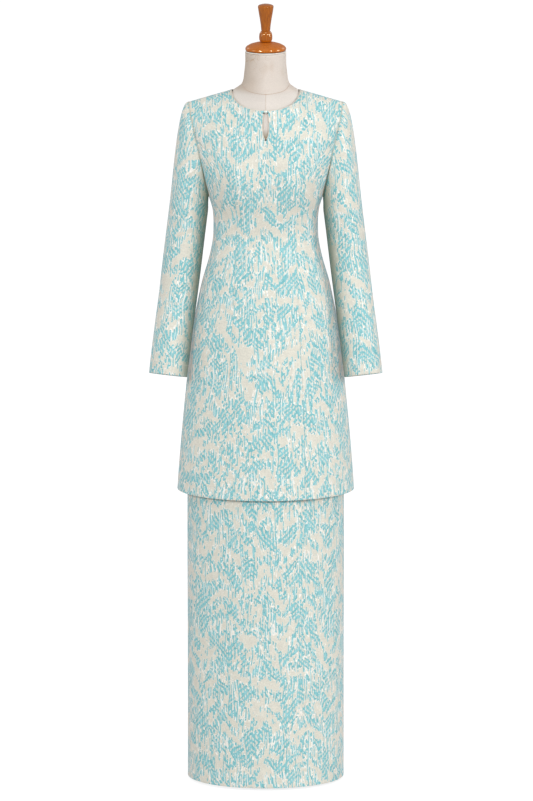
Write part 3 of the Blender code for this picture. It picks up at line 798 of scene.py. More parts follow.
@dataclass(frozen=True)
class Brocade:
    """The printed cloth: upright turquoise strokes on a cream ground with bare beige patches.

    Four numbers remap the range of the first two to that of the last two, and two numbers to the
    range from 0 to 1, but gap_in_rib and dash are a factor and what is added after it.
    """

    beige: Colour = shade("dfdccf")
    cream: Colour = shade("f7f3eb")
    white: Colour = shade("fbf8f2")
    deep: Colour = shade("6cb6be")
    middle: Colour = shade("82c4ca")
    light: Colour = shade("9bd1d6")
    reverse: Colour = shade("c9cfc8")
    sheen: Colour = shade("e6e2f4")
    # Painted shade: the sleeves' cloth turns darker and greener toward the underarm seam, as the
    # shade beside the tunic.
    underarm_painted_shade: Colour = shade("76866c")
    underarm_painted_shade_reach: Span = (0.084, 0.148)

    rib: float = 0.0052
    sway: float = 0.013
    swaying: Mottle = Mottle(0.030, 0.060, 2.0)
    rib_flank: Span = (0.2, 0.8)
    strokes: Mottle = Mottle(0.0060, 0.0235, 5.0, 1.0)
    stroke_weight: float = 1.15
    rib_weight: float = 0.095
    fuller: Numbers = (-0.22, 0.22, -0.122, 0.042)

    zigzag: float = 0.055
    zigzag_start: float = 0.018
    slant: float = 0.85
    lobes: Mottle = Mottle(0.027, 0.021, 3.1, 1.2)
    paired_lobes: Mottle = Mottle(0.034, 0.028, 7.7, 0.5)
    pairing: float = 0.7
    stroke_fray: float = 0.64
    rib_fray: float = 0.036
    bare: Numbers = (-0.13, -0.07, 0.28, 0.0)

    zones: Mottle = Mottle(0.040, 0.040, 11.0, 0.3)
    lobes_in_zones: float = 0.35
    dashed: Span = (0.39, 0.49)
    row_zigzag: float = 0.050
    row_start: float = 0.430
    row_slant: float = 1.05
    row_pitch: float = 0.0130
    wandering: Mottle = Mottle(0.030, 0.022, 13.0)
    drift: float = 0.020
    gap_in_rib: Span = (-0.75, 0.50)
    gap_depth: float = 0.50
    dash: Span = (0.60, 0.076)

    flecks: Mottle = Mottle(0.0042, 0.0060, 29.0)
    dots: Numbers = (0.69, 0.79, 0.0, 0.30)
    threads: Mottle = Mottle(0.0026, 0.080, 19.0)
    thread_lines: Numbers = (0.690, 0.725, 0.0, 0.8)
    specks: Mottle = Mottle(0.0040, 0.0044, 61.0)
    pale_specks: Numbers = (0.70, 0.75, 0.0, 0.8)
    pale_on_bare: Numbers = (0.0, 0.20, 0.9, 0.2)

    fine: Mottle = Mottle(0.0032, 0.0032, 37.0, 1.0)
    fine_tone: Numbers = (0.25, 0.75, 0.935, 1.065)
    slow: Mottle = Mottle(0.012, 0.014, 43.0, 1.0)
    slow_tone: Numbers = (0.25, 0.75, 0.96, 1.04)
    yarn: float = 0.0007
    warp_lean: float = 0.5
    weft_lean: float = 0.25
    weave_share: float = 0.16
    raised: Span = (-0.03, 0.03)
    raised_share: float = 0.8
    relief: float = 0.00012
    reverse_relief: float = 0.0001
    shown_through: Numbers = (-0.10, 0.10, 0.0, 0.45)

    def ribs(self, sheet: ShaderSheet) -> tuple[Socket, Socket, Socket]:
        """The upright ribs that the strokes stand in.

        Args:
            sheet: The material that they go in.

        Returns:
            The swaying place across the cloth, the same in steps of half a rib, and the ribs' wave.
        """
        across, along = sheet.grain()
        sway = sheet.mottled(across, along, self.swaying)
        swayed = sheet.add(across, sheet.swing(sway, self.sway))
        halves = sheet.times(swayed, 2.0 / self.rib)
        rounded = sheet.remap(sheet.math("FRACT", halves), *self.rib_flank)
        stepped = sheet.times(sheet.add(sheet.math("FLOOR", halves), rounded), 0.5 * self.rib)
        return swayed, stepped, sheet.wave(swayed, self.rib)

    def patches(self, sheet: ShaderSheet, stroke: Socket,
                rib: Socket) -> tuple[Socket, Socket, Socket]:
        """Where the ground is bare, and how the strokes stand between the bare patches.

        Args:
            sheet: The material that they go in.
            stroke: The strokes' noise about nothing, which frays the patches' edges.
            rib: The ribs' wave.

        Returns:
            The depth of the bare patches, how much fuller the strokes are, and the share of the
            strokes that break into rows of dashes.
        """
        across, along = sheet.grain()
        side = sheet.math("ABSOLUTE", across)
        zigzag = sheet.math("PINGPONG", sheet.add(side, self.zigzag_start), self.zigzag)
        leaning = sheet.add(sheet.times(zigzag, self.slant), along)
        free = sheet.swing(sheet.mottled(across, leaning, self.lobes), 1.0)
        paired = sheet.swing(sheet.mottled(side, leaning, self.paired_lobes), self.pairing)
        lobes = sheet.add(free, paired)
        frayed = sheet.add(sheet.times(stroke, self.stroke_fray), sheet.times(rib, self.rib_fray))
        bare = sheet.remap(sheet.add(lobes, frayed), *self.bare)
        fuller = sheet.remap(lobes, *self.fuller, smooth=False)
        zone = sheet.mottled(across, leaning, self.zones)
        zone = sheet.add(zone, sheet.times(lobes, self.lobes_in_zones))
        return bare, fuller, sheet.remap(zone, *self.dashed)

    def dashes(self, sheet: ShaderSheet, stroke: Socket, rib: Socket) -> Socket:
        """The strokes where they break into slanting rows of dashes.

        Args:
            sheet: The material that they go in.
            stroke: The strokes' noise about nothing.
            rib: The ribs' wave.

        Returns:
            The field of the dashes.
        """
        across, along = sheet.grain()
        slide = sheet.math("PINGPONG", sheet.add(across, self.row_start), self.row_zigzag)
        climb = sheet.add(sheet.times(slide, self.row_slant), along)
        wander = sheet.swing(sheet.mottled(across, along, self.wandering), self.drift)
        row = sheet.wave(sheet.add(climb, wander), self.row_pitch)
        in_rib = sheet.math("MULTIPLY_ADD", rib, *self.gap_in_rib)
        gaps = sheet.times(sheet.math("MAXIMUM", row, 0.0), sheet.math("MAXIMUM", in_rib, 0.0))
        return sheet.less(sheet.math("MULTIPLY_ADD", stroke, *self.dash),
                          sheet.times(gaps, self.gap_depth))

    def figure(self, sheet: ShaderSheet) -> tuple[Socket, Socket]:
        """The print as one field, above nothing in the strokes and far below it in the patches.

        Args:
            sheet: The material that it goes in.

        Returns:
            The field, and the share of the pale threads and specks that lie over it.
        """
        across, along = sheet.grain()
        swayed, stepped, rib = self.ribs(sheet)
        stroke = sheet.less(sheet.mottled(stepped, along, self.strokes), 0.5)
        bare, fuller, dashed = self.patches(sheet, stroke, rib)
        strokes = sheet.math("MULTIPLY_ADD", stroke, self.stroke_weight,
                             sheet.times(rib, self.rib_weight))
        dashes = self.dashes(sheet, stroke, rib)
        field = sheet.add(sheet.between(dashed, strokes, dashes), fuller)
        dots = sheet.remap(sheet.mottled(across, along, self.flecks), *self.dots)
        lines = sheet.remap(sheet.mottled(swayed, along, self.threads), *self.thread_lines)
        specks = sheet.remap(sheet.mottled(across, along, self.specks), *self.pale_specks)
        pale = sheet.times(sheet.math("MAXIMUM", lines, specks),
                           sheet.remap(bare, *self.pale_on_bare))
        return sheet.add(sheet.less(field, bare), dots), pale

    def printed(self, underarm_painted_shade: bool = False) -> Material:
        """The cloth's right side.

        Args:
            underarm_painted_shade: Whether it is the sleeves' cloth, which gets painted shade:
                darker and greener under the arm.

        Returns:
            The material.
        """
        sheet = ShaderSheet("turquoise_brocade_sleeve_painted_shade" if underarm_painted_shade else "turquoise_brocade")
        figure, pale = self.figure(sheet)
        level = sheet.remap(figure, -0.25, 0.25, smooth=False)
        colour = sheet.ramp(level, (
            (0.0, self.beige),
            (0.28, self.beige),
            (0.38, self.cream),
            (0.47, self.cream),
            (0.51, self.deep),
            (0.62, self.middle),
            (0.95, self.light),
        ))
        colour = sheet.mix(pale, colour, self.white)
        across, along = sheet.grain()
        tone = sheet.times(sheet.remap(sheet.mottled(across, along, self.fine), *self.fine_tone),
                           sheet.remap(sheet.mottled(across, along, self.slow), *self.slow_tone))
        colour = sheet.toned(colour, tone)
        # Painted shade under the arm: the colour darkens and greens toward the underarm seam.
        if underarm_painted_shade:
            beneath = sheet.remap(sheet.math("ABSOLUTE", across), *self.underarm_painted_shade_reach)
            shaded = sheet.mix(1.0, colour, self.underarm_painted_shade, "MULTIPLY")
            colour = sheet.mix(beneath, colour, shaded)
        sheet.paint(colour)
        raised = sheet.times(sheet.remap(figure, *self.raised), self.raised_share)
        sheet.bump(sheet.add(raised, self.weave(sheet)), self.relief)
        sheet.set(Roughness=0.62, Specular_IOR_Level=0.3, Sheen_Weight=0.40, Sheen_Roughness=0.35,
                  Sheen_Tint=(*self.sheen, 1.0))
        return sheet.material

    def weave(self, sheet: ShaderSheet) -> Socket:
        """The fine twill of the yarns."""
        across, along = sheet.grain()
        warp = sheet.wave(sheet.add(across, sheet.times(along, self.warp_lean)), self.yarn)
        weft = sheet.wave(sheet.less(along, sheet.times(across, self.weft_lean)), self.yarn)
        return sheet.times(sheet.add(warp, weft), self.weave_share)

    def wrong_side(self) -> Material:
        """The cloth's reverse, where the print shows through faintly."""
        sheet = ShaderSheet("brocade_reverse")
        figure, _ = self.figure(sheet)
        sheet.paint(sheet.mix(sheet.remap(figure, *self.shown_through), self.reverse, self.middle))
        sheet.bump(self.weave(sheet), self.reverse_relief)
        sheet.set(Roughness=0.8, Specular_IOR_Level=0.25)
        return sheet.material


@dataclass(frozen=True)
class Tint:
    """Painted light or shade: a colour that comes in over a stretch of X or Z, downwards along it,
    up to a share.
    """

    colour: Colour
    axis: int
    reach: Span
    share: float = 1.0

    def over(self, sheet: ShaderSheet, colour: Socket) -> Socket:
        """The colour with the tint over it."""
        here = sheet.remap(sheet.place()[self.axis], *self.reach, self.share, 0.0)
        return sheet.mix(here, colour, self.colour)


@dataclass(frozen=True)
class WovenCloth:
    """A plain woven cloth with slow stains, its weave following the object's own directions. It can
    also take painted light and shade by place.
    """

    name: str
    colour: Colour
    stain: Colour
    stain_size: float = 0.03
    stain_share: float = 0.5
    painted_side_shade: tuple[Tint, ...] = ()
    crease_shade: float = 0.0
    wrinkled_reach: Span = (1.510, 1.545)
    wrinkled_side: Numbers = (-0.010, 0.016, 1.0, 0.0)
    wrinkles: float = 60.0
    wrinkle_edge: Numbers = (0.0, 0.016, 1.0, 0.0)
    painted_light_tints: tuple[Tint, ...] = ()
    yarn: float = 0.0006
    roughness: float = 0.85
    relief: float = 0.0001

    def material(self) -> Material:
        """The finish as a material."""
        sheet = ShaderSheet(self.name)
        x, y, z = sheet.place()
        where = sheet.vector(x, y, z)
        cloudy = sheet.noise(where, 3.0, 1.0 / self.stain_size)
        upright = sheet.noise(sheet.vector(sheet.times(x, 3.0), sheet.times(y, 3.0), z), 2.0,
                              0.6 / self.stain_size)
        stain = sheet.times(sheet.remap(cloudy, 0.45, 0.75), sheet.remap(upright, 0.35, 0.65, 0.3))
        colour = sheet.mix(sheet.times(stain, self.stain_share), self.colour, self.stain)
        # Painted shade across X: darker and tanner toward the wearer's right, the side away from
        # the key light.
        for tint in self.painted_side_shade:
            colour = tint.over(sheet, colour)
        # Painted crease shade: thin darker lines high on the neck.
        if self.crease_shade:
            colour = sheet.mix(self.painted_crease_shade(sheet), colour, self.stain)
        # Painted light and shade by height.
        for tint in self.painted_light_tints:
            colour = tint.over(sheet, colour)
        speckle = sheet.noise(where, 1.0, 1.0 / (3 * self.yarn))
        sheet.paint(sheet.toned(colour, sheet.remap(speckle, 0.3, 0.7, 0.97, 1.03)))
        weave = sheet.times(sheet.wave(sheet.add(x, y), self.yarn), sheet.wave(z, self.yarn))
        sheet.bump(sheet.add(weave, sheet.times(speckle, 2.0)), self.relief)
        sheet.set(Roughness=self.roughness, Specular_IOR_Level=0.2)
        return sheet.material

    def painted_crease_shade(self, sheet: ShaderSheet) -> Socket:
        """Thin wandering lines of painted shade, as in fine creases, high up on the wearer's right.
        """
        x, y, z = sheet.place()
        paths = sheet.noise(sheet.vector(x, y, z), 1.0, self.wrinkles)
        near = sheet.remap(sheet.math("ABSOLUTE", sheet.less(paths, 0.5)), *self.wrinkle_edge)
        high = sheet.remap(z, *self.wrinkled_reach, 0.0, self.crease_shade)
        return sheet.times(near, sheet.times(high, sheet.remap(x, *self.wrinkled_side)))


@dataclass(frozen=True)
class TurnedWood:
    """Varnished wood, its grain upright along the turning and its gloss worn behind and on top."""

    light: Colour = shade("c46a08")
    dark: Colour = shade("a25006")
    pore: Colour = shade("803a05")
    grain_width: float = 0.0020
    grain_length: float = 0.060
    amber: Colour = shade("fff0cc")
    roughness: float = 0.06
    varnish: float = 1.8
    worn: float = 0.42
    worn_reach: Span = (-0.004, 0.020)
    cap_top: Span = (1.5690, 1.5770)
    tones: Span = (1.12, 0.84)
    tone_reach: Span = (1.576, 1.584)

    def material(self) -> Material:
        """The finish as a material."""
        sheet = ShaderSheet("varnished_wood")
        _, y, z = sheet.place()
        streaks = self.streaked(sheet, (1.0, 1.0, 1.0), 3.0)
        rings = self.streaked(sheet, (0.25, 0.6, 0.5), 1.5)
        colour = sheet.mix(sheet.remap(streaks, 0.25, 0.75), self.light, self.dark)
        colour = sheet.mix(sheet.remap(rings, 0.62, 0.74, 0.0, 0.35), colour, self.pore)
        sheet.paint(sheet.toned(colour, sheet.remap(z, *self.tone_reach, *self.tones)))
        polish = sheet.remap(streaks, 0.3, 0.7, self.roughness, self.roughness + 0.03)
        behind = sheet.remap(y, *self.worn_reach, 0.0, self.worn)
        low, high = self.cap_top
        on_top = sheet.times(sheet.remap(z, low - 0.004, low, 0.0, self.worn),
                             sheet.remap(z, high, high + 0.001, 1.0, 0.0))
        worn = sheet.math("MAXIMUM", behind, on_top)
        sheet.put(sheet.shader.inputs["Roughness"], sheet.add(polish, worn))
        sheet.bump(streaks, 0.00001)
        sheet.set(IOR=self.varnish, Specular_IOR_Level=0.5, Specular_Tint=(*self.amber, 1.0))
        return sheet.material

    def streaked(self, sheet: ShaderSheet, finer: Point, detail: float) -> Socket:
        """Noise along the grain, finer than it on each axis by a factor."""
        scales = (1.0 / self.grain_width, 1.0 / self.grain_width, 1.0 / self.grain_length)
        places = (sheet.times(place, scale * factor)
                  for place, scale, factor in zip(sheet.place(), scales, finer))
        return sheet.noise(sheet.vector(*places), detail)


@dataclass(frozen=True)
class PaintedSteel:
    """Dark paint with a fine orange-peel skin and scuffed specks."""

    paint: Colour = shade("35363a")
    scuff: Colour = shade("6b6c70")

    def material(self) -> Material:
        """The finish as a material."""
        sheet = ShaderSheet("painted_steel")
        x, y, z = sheet.place()
        scuffs = sheet.noise(sheet.vector(x, y, z), 6.0, 45.0)
        colour = sheet.mix(sheet.remap(scuffs, 0.62, 0.72, 0.0, 0.6), self.paint, self.scuff)
        sheet.paint(colour)
        sheet.bump(sheet.noise(sheet.vector(x, y, z), 1.0, 600.0), 0.00004)
        sheet.put(sheet.shader.inputs["Roughness"], sheet.remap(scuffs, 0.4, 0.7, 0.34, 0.5))
        sheet.set(Metallic=0.6)
        return sheet.material


@dataclass(frozen=True)
class Thread:
    """Spun sewing thread."""

    name: str
    colour: Colour
    twist: float = 0.0006

    def material(self) -> Material:
        """The finish as a material."""
        sheet = ShaderSheet(self.name)
        x, y, z = sheet.place()
        ply = sheet.wave(sheet.add(sheet.add(x, y), z), self.twist)
        sheet.paint(sheet.toned(self.colour, sheet.remap(ply, -1.0, 1.0, 0.86, 1.04)))
        sheet.bump(ply, 0.00005)
        sheet.set(Roughness=0.6, Sheen_Weight=0.2)
        return sheet.material


@dataclass(frozen=True)
class PaleFloor:
    """A plain white sweep that is lit from beneath."""

    colour: Colour = shade("9a9a9a")
    glow: float = 0.85

    def material(self) -> Material:
        """The finish as a material."""
        sheet = ShaderSheet("pale_floor")
        sheet.set(Base_Color=(*self.colour, 1.0), Roughness=0.9, Specular_IOR_Level=0.0)
        sheet.set(Emission_Color=(1.0, 1.0, 1.0, 1.0), Emission_Strength=self.glow)
        return sheet.material


class Workbox:
    """Every material, made once."""

    def __init__(self) -> None:
        """Make the materials from their finishes."""
        cloth = Brocade()
        self.brocade = cloth.printed()
        # The sleeves' cloth, with painted shade under the arm.
        self.sleeve_brocade = cloth.printed(underarm_painted_shade=True)
        self.reverse = cloth.wrong_side()
        # Painted shade: the armhole seam roll turns dark olive below about 1.37 m, as the shade
        # along the seam's lower half.
        self.allowance = WovenCloth(
            "seam_allowance_painted_shade", shade("d6ded2"), shade("b9cfca"), 0.01, 0.4,
            painted_light_tints=(Tint(shade("8d9378"), 2, (1.300, 1.370)),)).material()
        self.edging = WovenCloth(
            "cream_edging", shade("f1e7da"), shade("dfd8c6"), 0.01, 0.4).material()
        self.facing = WovenCloth(
            "tan_facing", shade("f3dfc8"), shade("d2b090"), 0.01, 0.4).material()
        self.cover = WovenCloth(
            "cotton_cover", shade("e2d7cd"), shade("c0a284"), 0.035, 0.35,
            # Painted shade: darker toward the wearer's right, with painted crease shade high on the
            # neck.
            painted_side_shade=(Tint(shade("ccbdae"), 0, (-0.046, 0.006), 0.85),), crease_shade=0.8,
            # Painted light: the cover lighter below the neck's foot, where the flare faces the
            # lamps.
            painted_light_tints=(Tint(shade("e8e0d8"), 2, (1.470, 1.484)),
                   # Painted shade: the cover darker below about 1.41 m, low inside the keyhole.
                   Tint(shade("a69a84"), 2, (1.384, 1.408)))).material()
        self.piping = WovenCloth(
            "cream_piping", shade("fbf7ee"), shade("e6dac6"), 0.02, 0.3).material()
        self.wood = TurnedWood().material()
        self.steel = PaintedSteel().material()
        self.pale_thread = Thread("cream_thread", shade("efe6d6")).material()
        # Dark thread for the keyhole's tacks, which also stands in for the shade in the slit's
        # corners.
        self.dark_thread = Thread("dark_thread", shade("2e2e2a")).material()
        self.tan_thread = Thread("tan_thread", shade("cbb098")).material()


@dataclass(frozen=True)
class Sewing:
    """How a garment is sewn: its cloth's thickness, its seams and its hem."""

    hem_depth: float
    seam_dip: float = 0.0007
    seam_width: float = 0.0026
    hem_fold: float = 0.0010
    thickness: float = 0.0008

    def fold(self, grid: ClothGrid, creases: Sequence[Crease], first: float = 0.0,
             last: Array | float = 0.0) -> ClothGrid:
        """Crease the cloth and let it dip at its seams, as sink_seams takes them."""
        return grid.crease(creases).sink_seams(self.seam_dip, self.seam_width, first, last)

    def cloth(self, node: str, data: Mesh, box: Workbox) -> Piece:
        """Make a garment piece that stands for a CAD node.

        Args:
            node: The node's name.
            data: The piece's outer face.
            box: The materials.

        Returns:
            The piece, thickened inwards, with the reverse on its second material.
        """
        right = box.sleeve_brocade if node.startswith("sleeve") else box.brocade
        piece = add_piece(data.name, data, (right, box.reverse), (node,))
        wall = piece.modifiers.new("cloth_thickness", "SOLIDIFY")
        wall.thickness = self.thickness
        wall.offset = -1.0
        wall.use_even_offset = False
        wall.material_offset = 1
        wall.material_offset_rim = 0
        return piece

    def hemmed(self, node: str, grid: ClothGrid, box: Workbox, at_end: bool = False,
               lines: Sequence[Line] = ()) -> tuple[Piece, Piece]:
        """Turn a piece's hem and make the piece and its stitches.

        Args:
            node: The name of the node that it stands for.
            grid: Its outer face.
            box: The materials.
            at_end: Whether its last row is the one that is turned.
            lines: Rows of stitches besides the hem's.

        Returns:
            The piece and its stitches.
        """
        sewn = [grid.line(self.hem_depth, at_end), *lines]
        grid.turn_edge(self.hem_depth, self.hem_fold, at_end)
        piece = self.cloth(node, grid.mesh(f"{node}_cloth"), box)
        return piece, add_stitches(f"{node}_stitches", sewn, box)


def add_stitches(name: str, lines: Sequence[Line], box: Workbox) -> Piece:
    """Sew rows of stitches, each of points and outward directions, as one piece."""
    rows = [StitchRow().mesh("stitches", path, outward) for path, outward in lines]
    return add_piece(name, joined(name, rows), (box.pale_thread,))


# ---- the tunic


@dataclass(frozen=True)
class Neckline:
    """The round neckline, a little deeper in front than behind."""

    half_width: float = 0.0713
    front_depth: float = 0.0800
    back_depth: float = 0.0600
    front_height: float = 1.4433
    back_height: float = 1.4680
    point_height: float = 1.4758
    rise_power: float = 1.25
    front_slope: float = math.radians(68.0)
    back_slope: float = math.radians(55.0)

    def points(self, turn: Array, front: bool) -> Array:
        """Points of the left half, turn 0 at the middle and a quarter circle at the shoulder."""
        turn = np.asarray(turn, float)
        depth = -self.front_depth if front else self.back_depth
        lowest = self.front_height if front else self.back_height
        rise = np.maximum(1.0 - np.cos(turn), 0.0) ** self.rise_power
        height = between(lowest, self.point_height, rise)
        return np.stack([self.half_width * np.sin(turn), depth * np.cos(turn), height], axis=-1)


@dataclass(frozen=True)
class Keyhole:
    """The slit below the neckline, from its point up to its flat top."""

    heights: Numbers = (
        1.3836, 1.3856, 1.3872, 1.3907, 1.3979, 1.4050, 1.4140, 1.4247, 1.4318, 1.4381,
    )
    half_widths: Numbers = (
        0.0004, 0.0022, 0.0031, 0.0045, 0.0060, 0.0067, 0.0069, 0.0065, 0.0055, 0.0040,
    )
    reach: float = 0.030
    corner: float = 0.0003

    def half_width(self, height: Array) -> Array:
        """Half the slit's width at a height, and nothing above or below it."""
        width = SmoothCurve(self.heights, self.half_widths)(height)
        inside = (height > self.heights[0] + 1e-5) & (height < self.heights[-1] + 1e-5)
        return np.where(inside, width, 0.0)

    def part(self, points: Array, side: Array) -> Array:
        """Points near the middle of the front drawn aside to open the slit.

        Args:
            points: The front panel's grid.
            side: For each column, the side of the middle that it is on.

        Returns:
            The moved points.
        """
        half = self.half_width(points[..., 2])
        out = np.abs(points[..., 0])
        inside = out < self.reach
        moved = points.copy()
        drawn = side * (half + out * (1.0 - half / self.reach))
        moved[..., 0] = np.where(inside, drawn, points[..., 0])
        return moved


@dataclass
class TunicBlock:
    """The tunic's shape: its sections, armholes, neckline and shoulders, as surfaces by row.

    Rows count from 0 at the hem to low_rows at the underarm, then in armhole steps to the shoulder.
    """

    hem_height: float = 0.6244
    underarm_height: float = 1.2490
    chest_height: float = 1.3760
    shoulder_tip: Point = (0.1622, 0.0, 1.4502)
    neck_share: float = 0.44
    yoke_drop: float = 0.002
    low_rows: int = 17
    lower_steps: int = 7
    upper_steps: int = 5
    neckline: Neckline = Neckline()
    bust: Bust = Bust()
    armhole_heights: Numbers = (
        1.2490, 1.2530, 1.2665, 1.2860, 1.3080, 1.3305, 1.3530, 1.3760,
    )
    armhole_turns: Numbers = (90.0, 79.5, 73.5, 69.5, 66.5, 64.6, 64.2, 65.2)
    armhole_top: tuple[tuple[float, float, float, float], ...] = (
        (0.1532, 0.0405, 0.0415, 1.4060),
        (0.1585, 0.0265, 0.0275, 1.4280),
    )

    def __post_init__(self) -> None:
        """Make the curves of the tables."""
        self.sections = Sections([Section(*row) for row in (
            (self.hem_height, 0.1869, 0.1540, 0.1540, 2.00, 0.0860),
            (0.6830, 0.1827, 0.1515, 0.1525, 2.00, 0.0840),
            (0.7683, 0.1754, 0.1460, 0.1490, 2.00, 0.0810),
            (0.8643, 0.1659, 0.1380, 0.1440, 2.05, 0.0770),
            (0.9603, 0.1554, 0.1275, 0.1350, 2.10, 0.0725),
            (1.0136, 0.1457, 0.1190, 0.1255, 2.10, 0.0695),
            (1.0669, 0.1344, 0.1095, 0.1120, 2.10, 0.0670),
            (1.1181, 0.1197, 0.0990, 0.0945, 2.10, 0.0650),
            (1.1522, 0.1124, 0.0915, 0.0825, 2.12, 0.0640),
            (1.1778, 0.1103, 0.0885, 0.0775, 2.15, 0.0640),
            (1.2204, 0.1117, 0.0958, 0.0810, 2.20, 0.0655),
            (self.underarm_height, 0.1198, 0.1022, 0.0870, 2.25, 0.0685),
            (1.2900, 0.1355, 0.1088, 0.0940, 2.30, 0.0770),
            (1.3310, 0.1490, 0.1072, 0.0975, 2.35, 0.1010),
            (self.chest_height, 0.1590, 0.0995, 0.0975, 2.40, 0.1463),
        )])
        steps = range(len(self.armhole_heights))
        self.edge_height = SmoothCurve(steps, self.armhole_heights)
        self.edge_turn = SmoothCurve(steps, np.radians(self.armhole_turns))
        self.armhole_steps = self.lower_steps + self.upper_steps

    def body(self, height: Array, turn: Array, front: bool) -> Array:
        """Points below the chest line on the wearer's left."""
        points = self.sections.points(height, turn, front)
        return self.bust.lift(points) if front else points

    def princess_turn(self, height: Array) -> Array:
        """How far round the section the princess seam lies."""
        share = self.sections.princess(height) / self.sections.half_width(height)
        return np.arcsin(np.clip(share ** (self.sections.power(height) / 2.0), 0.0, 1.0))

    def armhole(self, step: float, front: bool) -> Array:
        """A point of the armhole seam, from the underarm at step 0 to the shoulder tip."""
        if step <= self.lower_steps:
            return self.body(self.edge_height(step), self.edge_turn(step), front)
        sign = -1.0 if front else 1.0
        points = [self.armhole(self.lower_steps - 1, front), self.armhole(self.lower_steps, front)]
        for out, front_depth, back_depth, height in self.armhole_top:
            points.append(np.array([out, sign * (front_depth if front else back_depth), height]))
        points.append(np.array(self.shoulder_tip))
        out, front_depth, back_depth, height = self.armhole_top[-1]
        points.append(np.array([out, -sign * front_depth, height]))
        spans = len(points) - 3
        place = (step - self.lower_steps) / self.upper_steps * spans
        low = min(int(place), spans - 1)
        before, start, end, after = points[low : low + 4]
        return hermite(start, end, (end - before) / 2, (after - start) / 2, place - low)

    def top_edge(self, across: Array, front: bool) -> tuple[Array, Array]:
        """The neckline and shoulder seam, and the way the cloth crosses them.

        Args:
            across: Shares of half a panel, from 0 at its middle.
            front: Whether it is the front panel.

        Returns:
            The edge's points and the cloth's directions there.
        """
        inward = 1.0 if front else -1.0
        turn = np.clip(across / self.neck_share, 0.0, 1.0) * QUARTER
        steepest = self.neckline.front_slope if front else self.neckline.back_slope
        slope = steepest * np.cos(turn)
        zero = np.zeros_like(across)
        neck_way = np.stack([zero, inward * np.cos(slope), np.sin(slope)], axis=-1)
        seam_way = np.stack([zero, zero + inward, zero], axis=-1)
        neck_point = self.neckline.points(np.array(QUARTER), front)
        share = (across - self.neck_share) / (1.0 - self.neck_share)
        seam = between(neck_point, np.array(self.shoulder_tip), share[..., None])
        on_neck = (across <= self.neck_share)[..., None]
        return (
            np.where(on_neck, self.neckline.points(turn, front), seam),
            np.where(on_neck, neck_way, seam_way),
        )

    def yoke(self, chest: Callable[[Array, Array], Array], across: Array, step: float,
             front: bool) -> Array:
        """Points between the chest line and the top edge."""
        start = chest(across, np.full_like(across, self.chest_height))
        below = chest(across, np.full_like(across, self.chest_height - self.yoke_drop))
        end, crossing = self.top_edge(across, front)
        reach = np.linalg.norm(end - start, axis=-1, keepdims=True)
        share = (step - self.lower_steps) / self.upper_steps
        return hermite(start, end, unit(start - below) * reach, crossing * reach, share)

    def half_row(self, chest: Callable[[Array, Array], Array], share: Array, along: float,
                 front: bool) -> Array:
        """A row of half a panel.

        Args:
            chest: Points below the chest line, from shares and heights.
            share: How far across each point is, from 0 at the middle to 1 at the seam.
            along: The row.
            front: Whether it is the front panel.

        Returns:
            The row's points.
        """
        step = along - self.low_rows
        if step <= self.lower_steps:
            return chest(share, np.full_like(share, self.row_height(along)))
        miss = self.armhole(step, front) - self.yoke(chest, np.array([1.0]), step, front)[0]
        return self.yoke(chest, share, step, front) + miss * share[:, None] ** 3

    def front_row(self, across: Array, along: float) -> Array:
        """A row of the centre front, across from -1 at the right princess seam to 1 at the left."""

        def chest(share: Array, height: Array) -> Array:
            """Points below the chest line, share 0 at the middle and 1 at the seam."""
            return self.body(height, self.princess_turn(height) * share, True)

        points = self.half_row(chest, np.abs(across), along, True)
        points[:, 0] *= np.where(across < 0, -1.0, 1.0)
        return points

    def row_height(self, along: float) -> float:
        """The height of a row below the chest line."""
        step = along - self.low_rows
        if step <= 0:
            return between(self.hem_height, self.underarm_height, along / self.low_rows)
        return between(self.underarm_height, self.chest_height, step / self.lower_steps)

    def back_row(self, across: Array, along: float) -> Array:
        """A row of the back, across from -1 at the left side to 1 at the right one."""

        def chest(share: Array, height: Array) -> Array:
            """Points below the chest line, share 0 at the middle and 1 at the seam."""
            rise = (height - self.underarm_height) / (self.chest_height - self.underarm_height)
            step = np.clip(self.lower_steps * rise, 0.0, self.lower_steps)
            low = height <= self.underarm_height
            edge_height = np.where(low, height, self.edge_height(step))
            edge_turn = np.where(low, QUARTER, self.edge_turn(step))
            return self.body(between(height, edge_height, share), edge_turn * share, False)

        points = self.half_row(chest, np.abs(across), along, False)
        points[:, 0] *= np.where(across < 0, 1.0, -1.0)
        return points

    def side_front_row(self, across: Array, along: float) -> Array:
        """A row of the left side front, across from its princess seam to its side seam."""
        step = along - self.low_rows
        if step <= 0:
            height = np.full_like(across, self.row_height(along))
            return self.body(height, between(self.princess_turn(height), QUARTER, across), True)
        last = self.lower_steps - 1
        if step > last:
            low = self.side_front_row(across, self.low_rows + last)
            return between(low, self.armhole(self.lower_steps, True), step - last)
        seam_height = np.full_like(across, self.row_height(along))
        height = between(seam_height, self.edge_height(step), across)
        turn = between(self.princess_turn(seam_height), self.edge_turn(step), across)
        return self.body(height, turn, True)


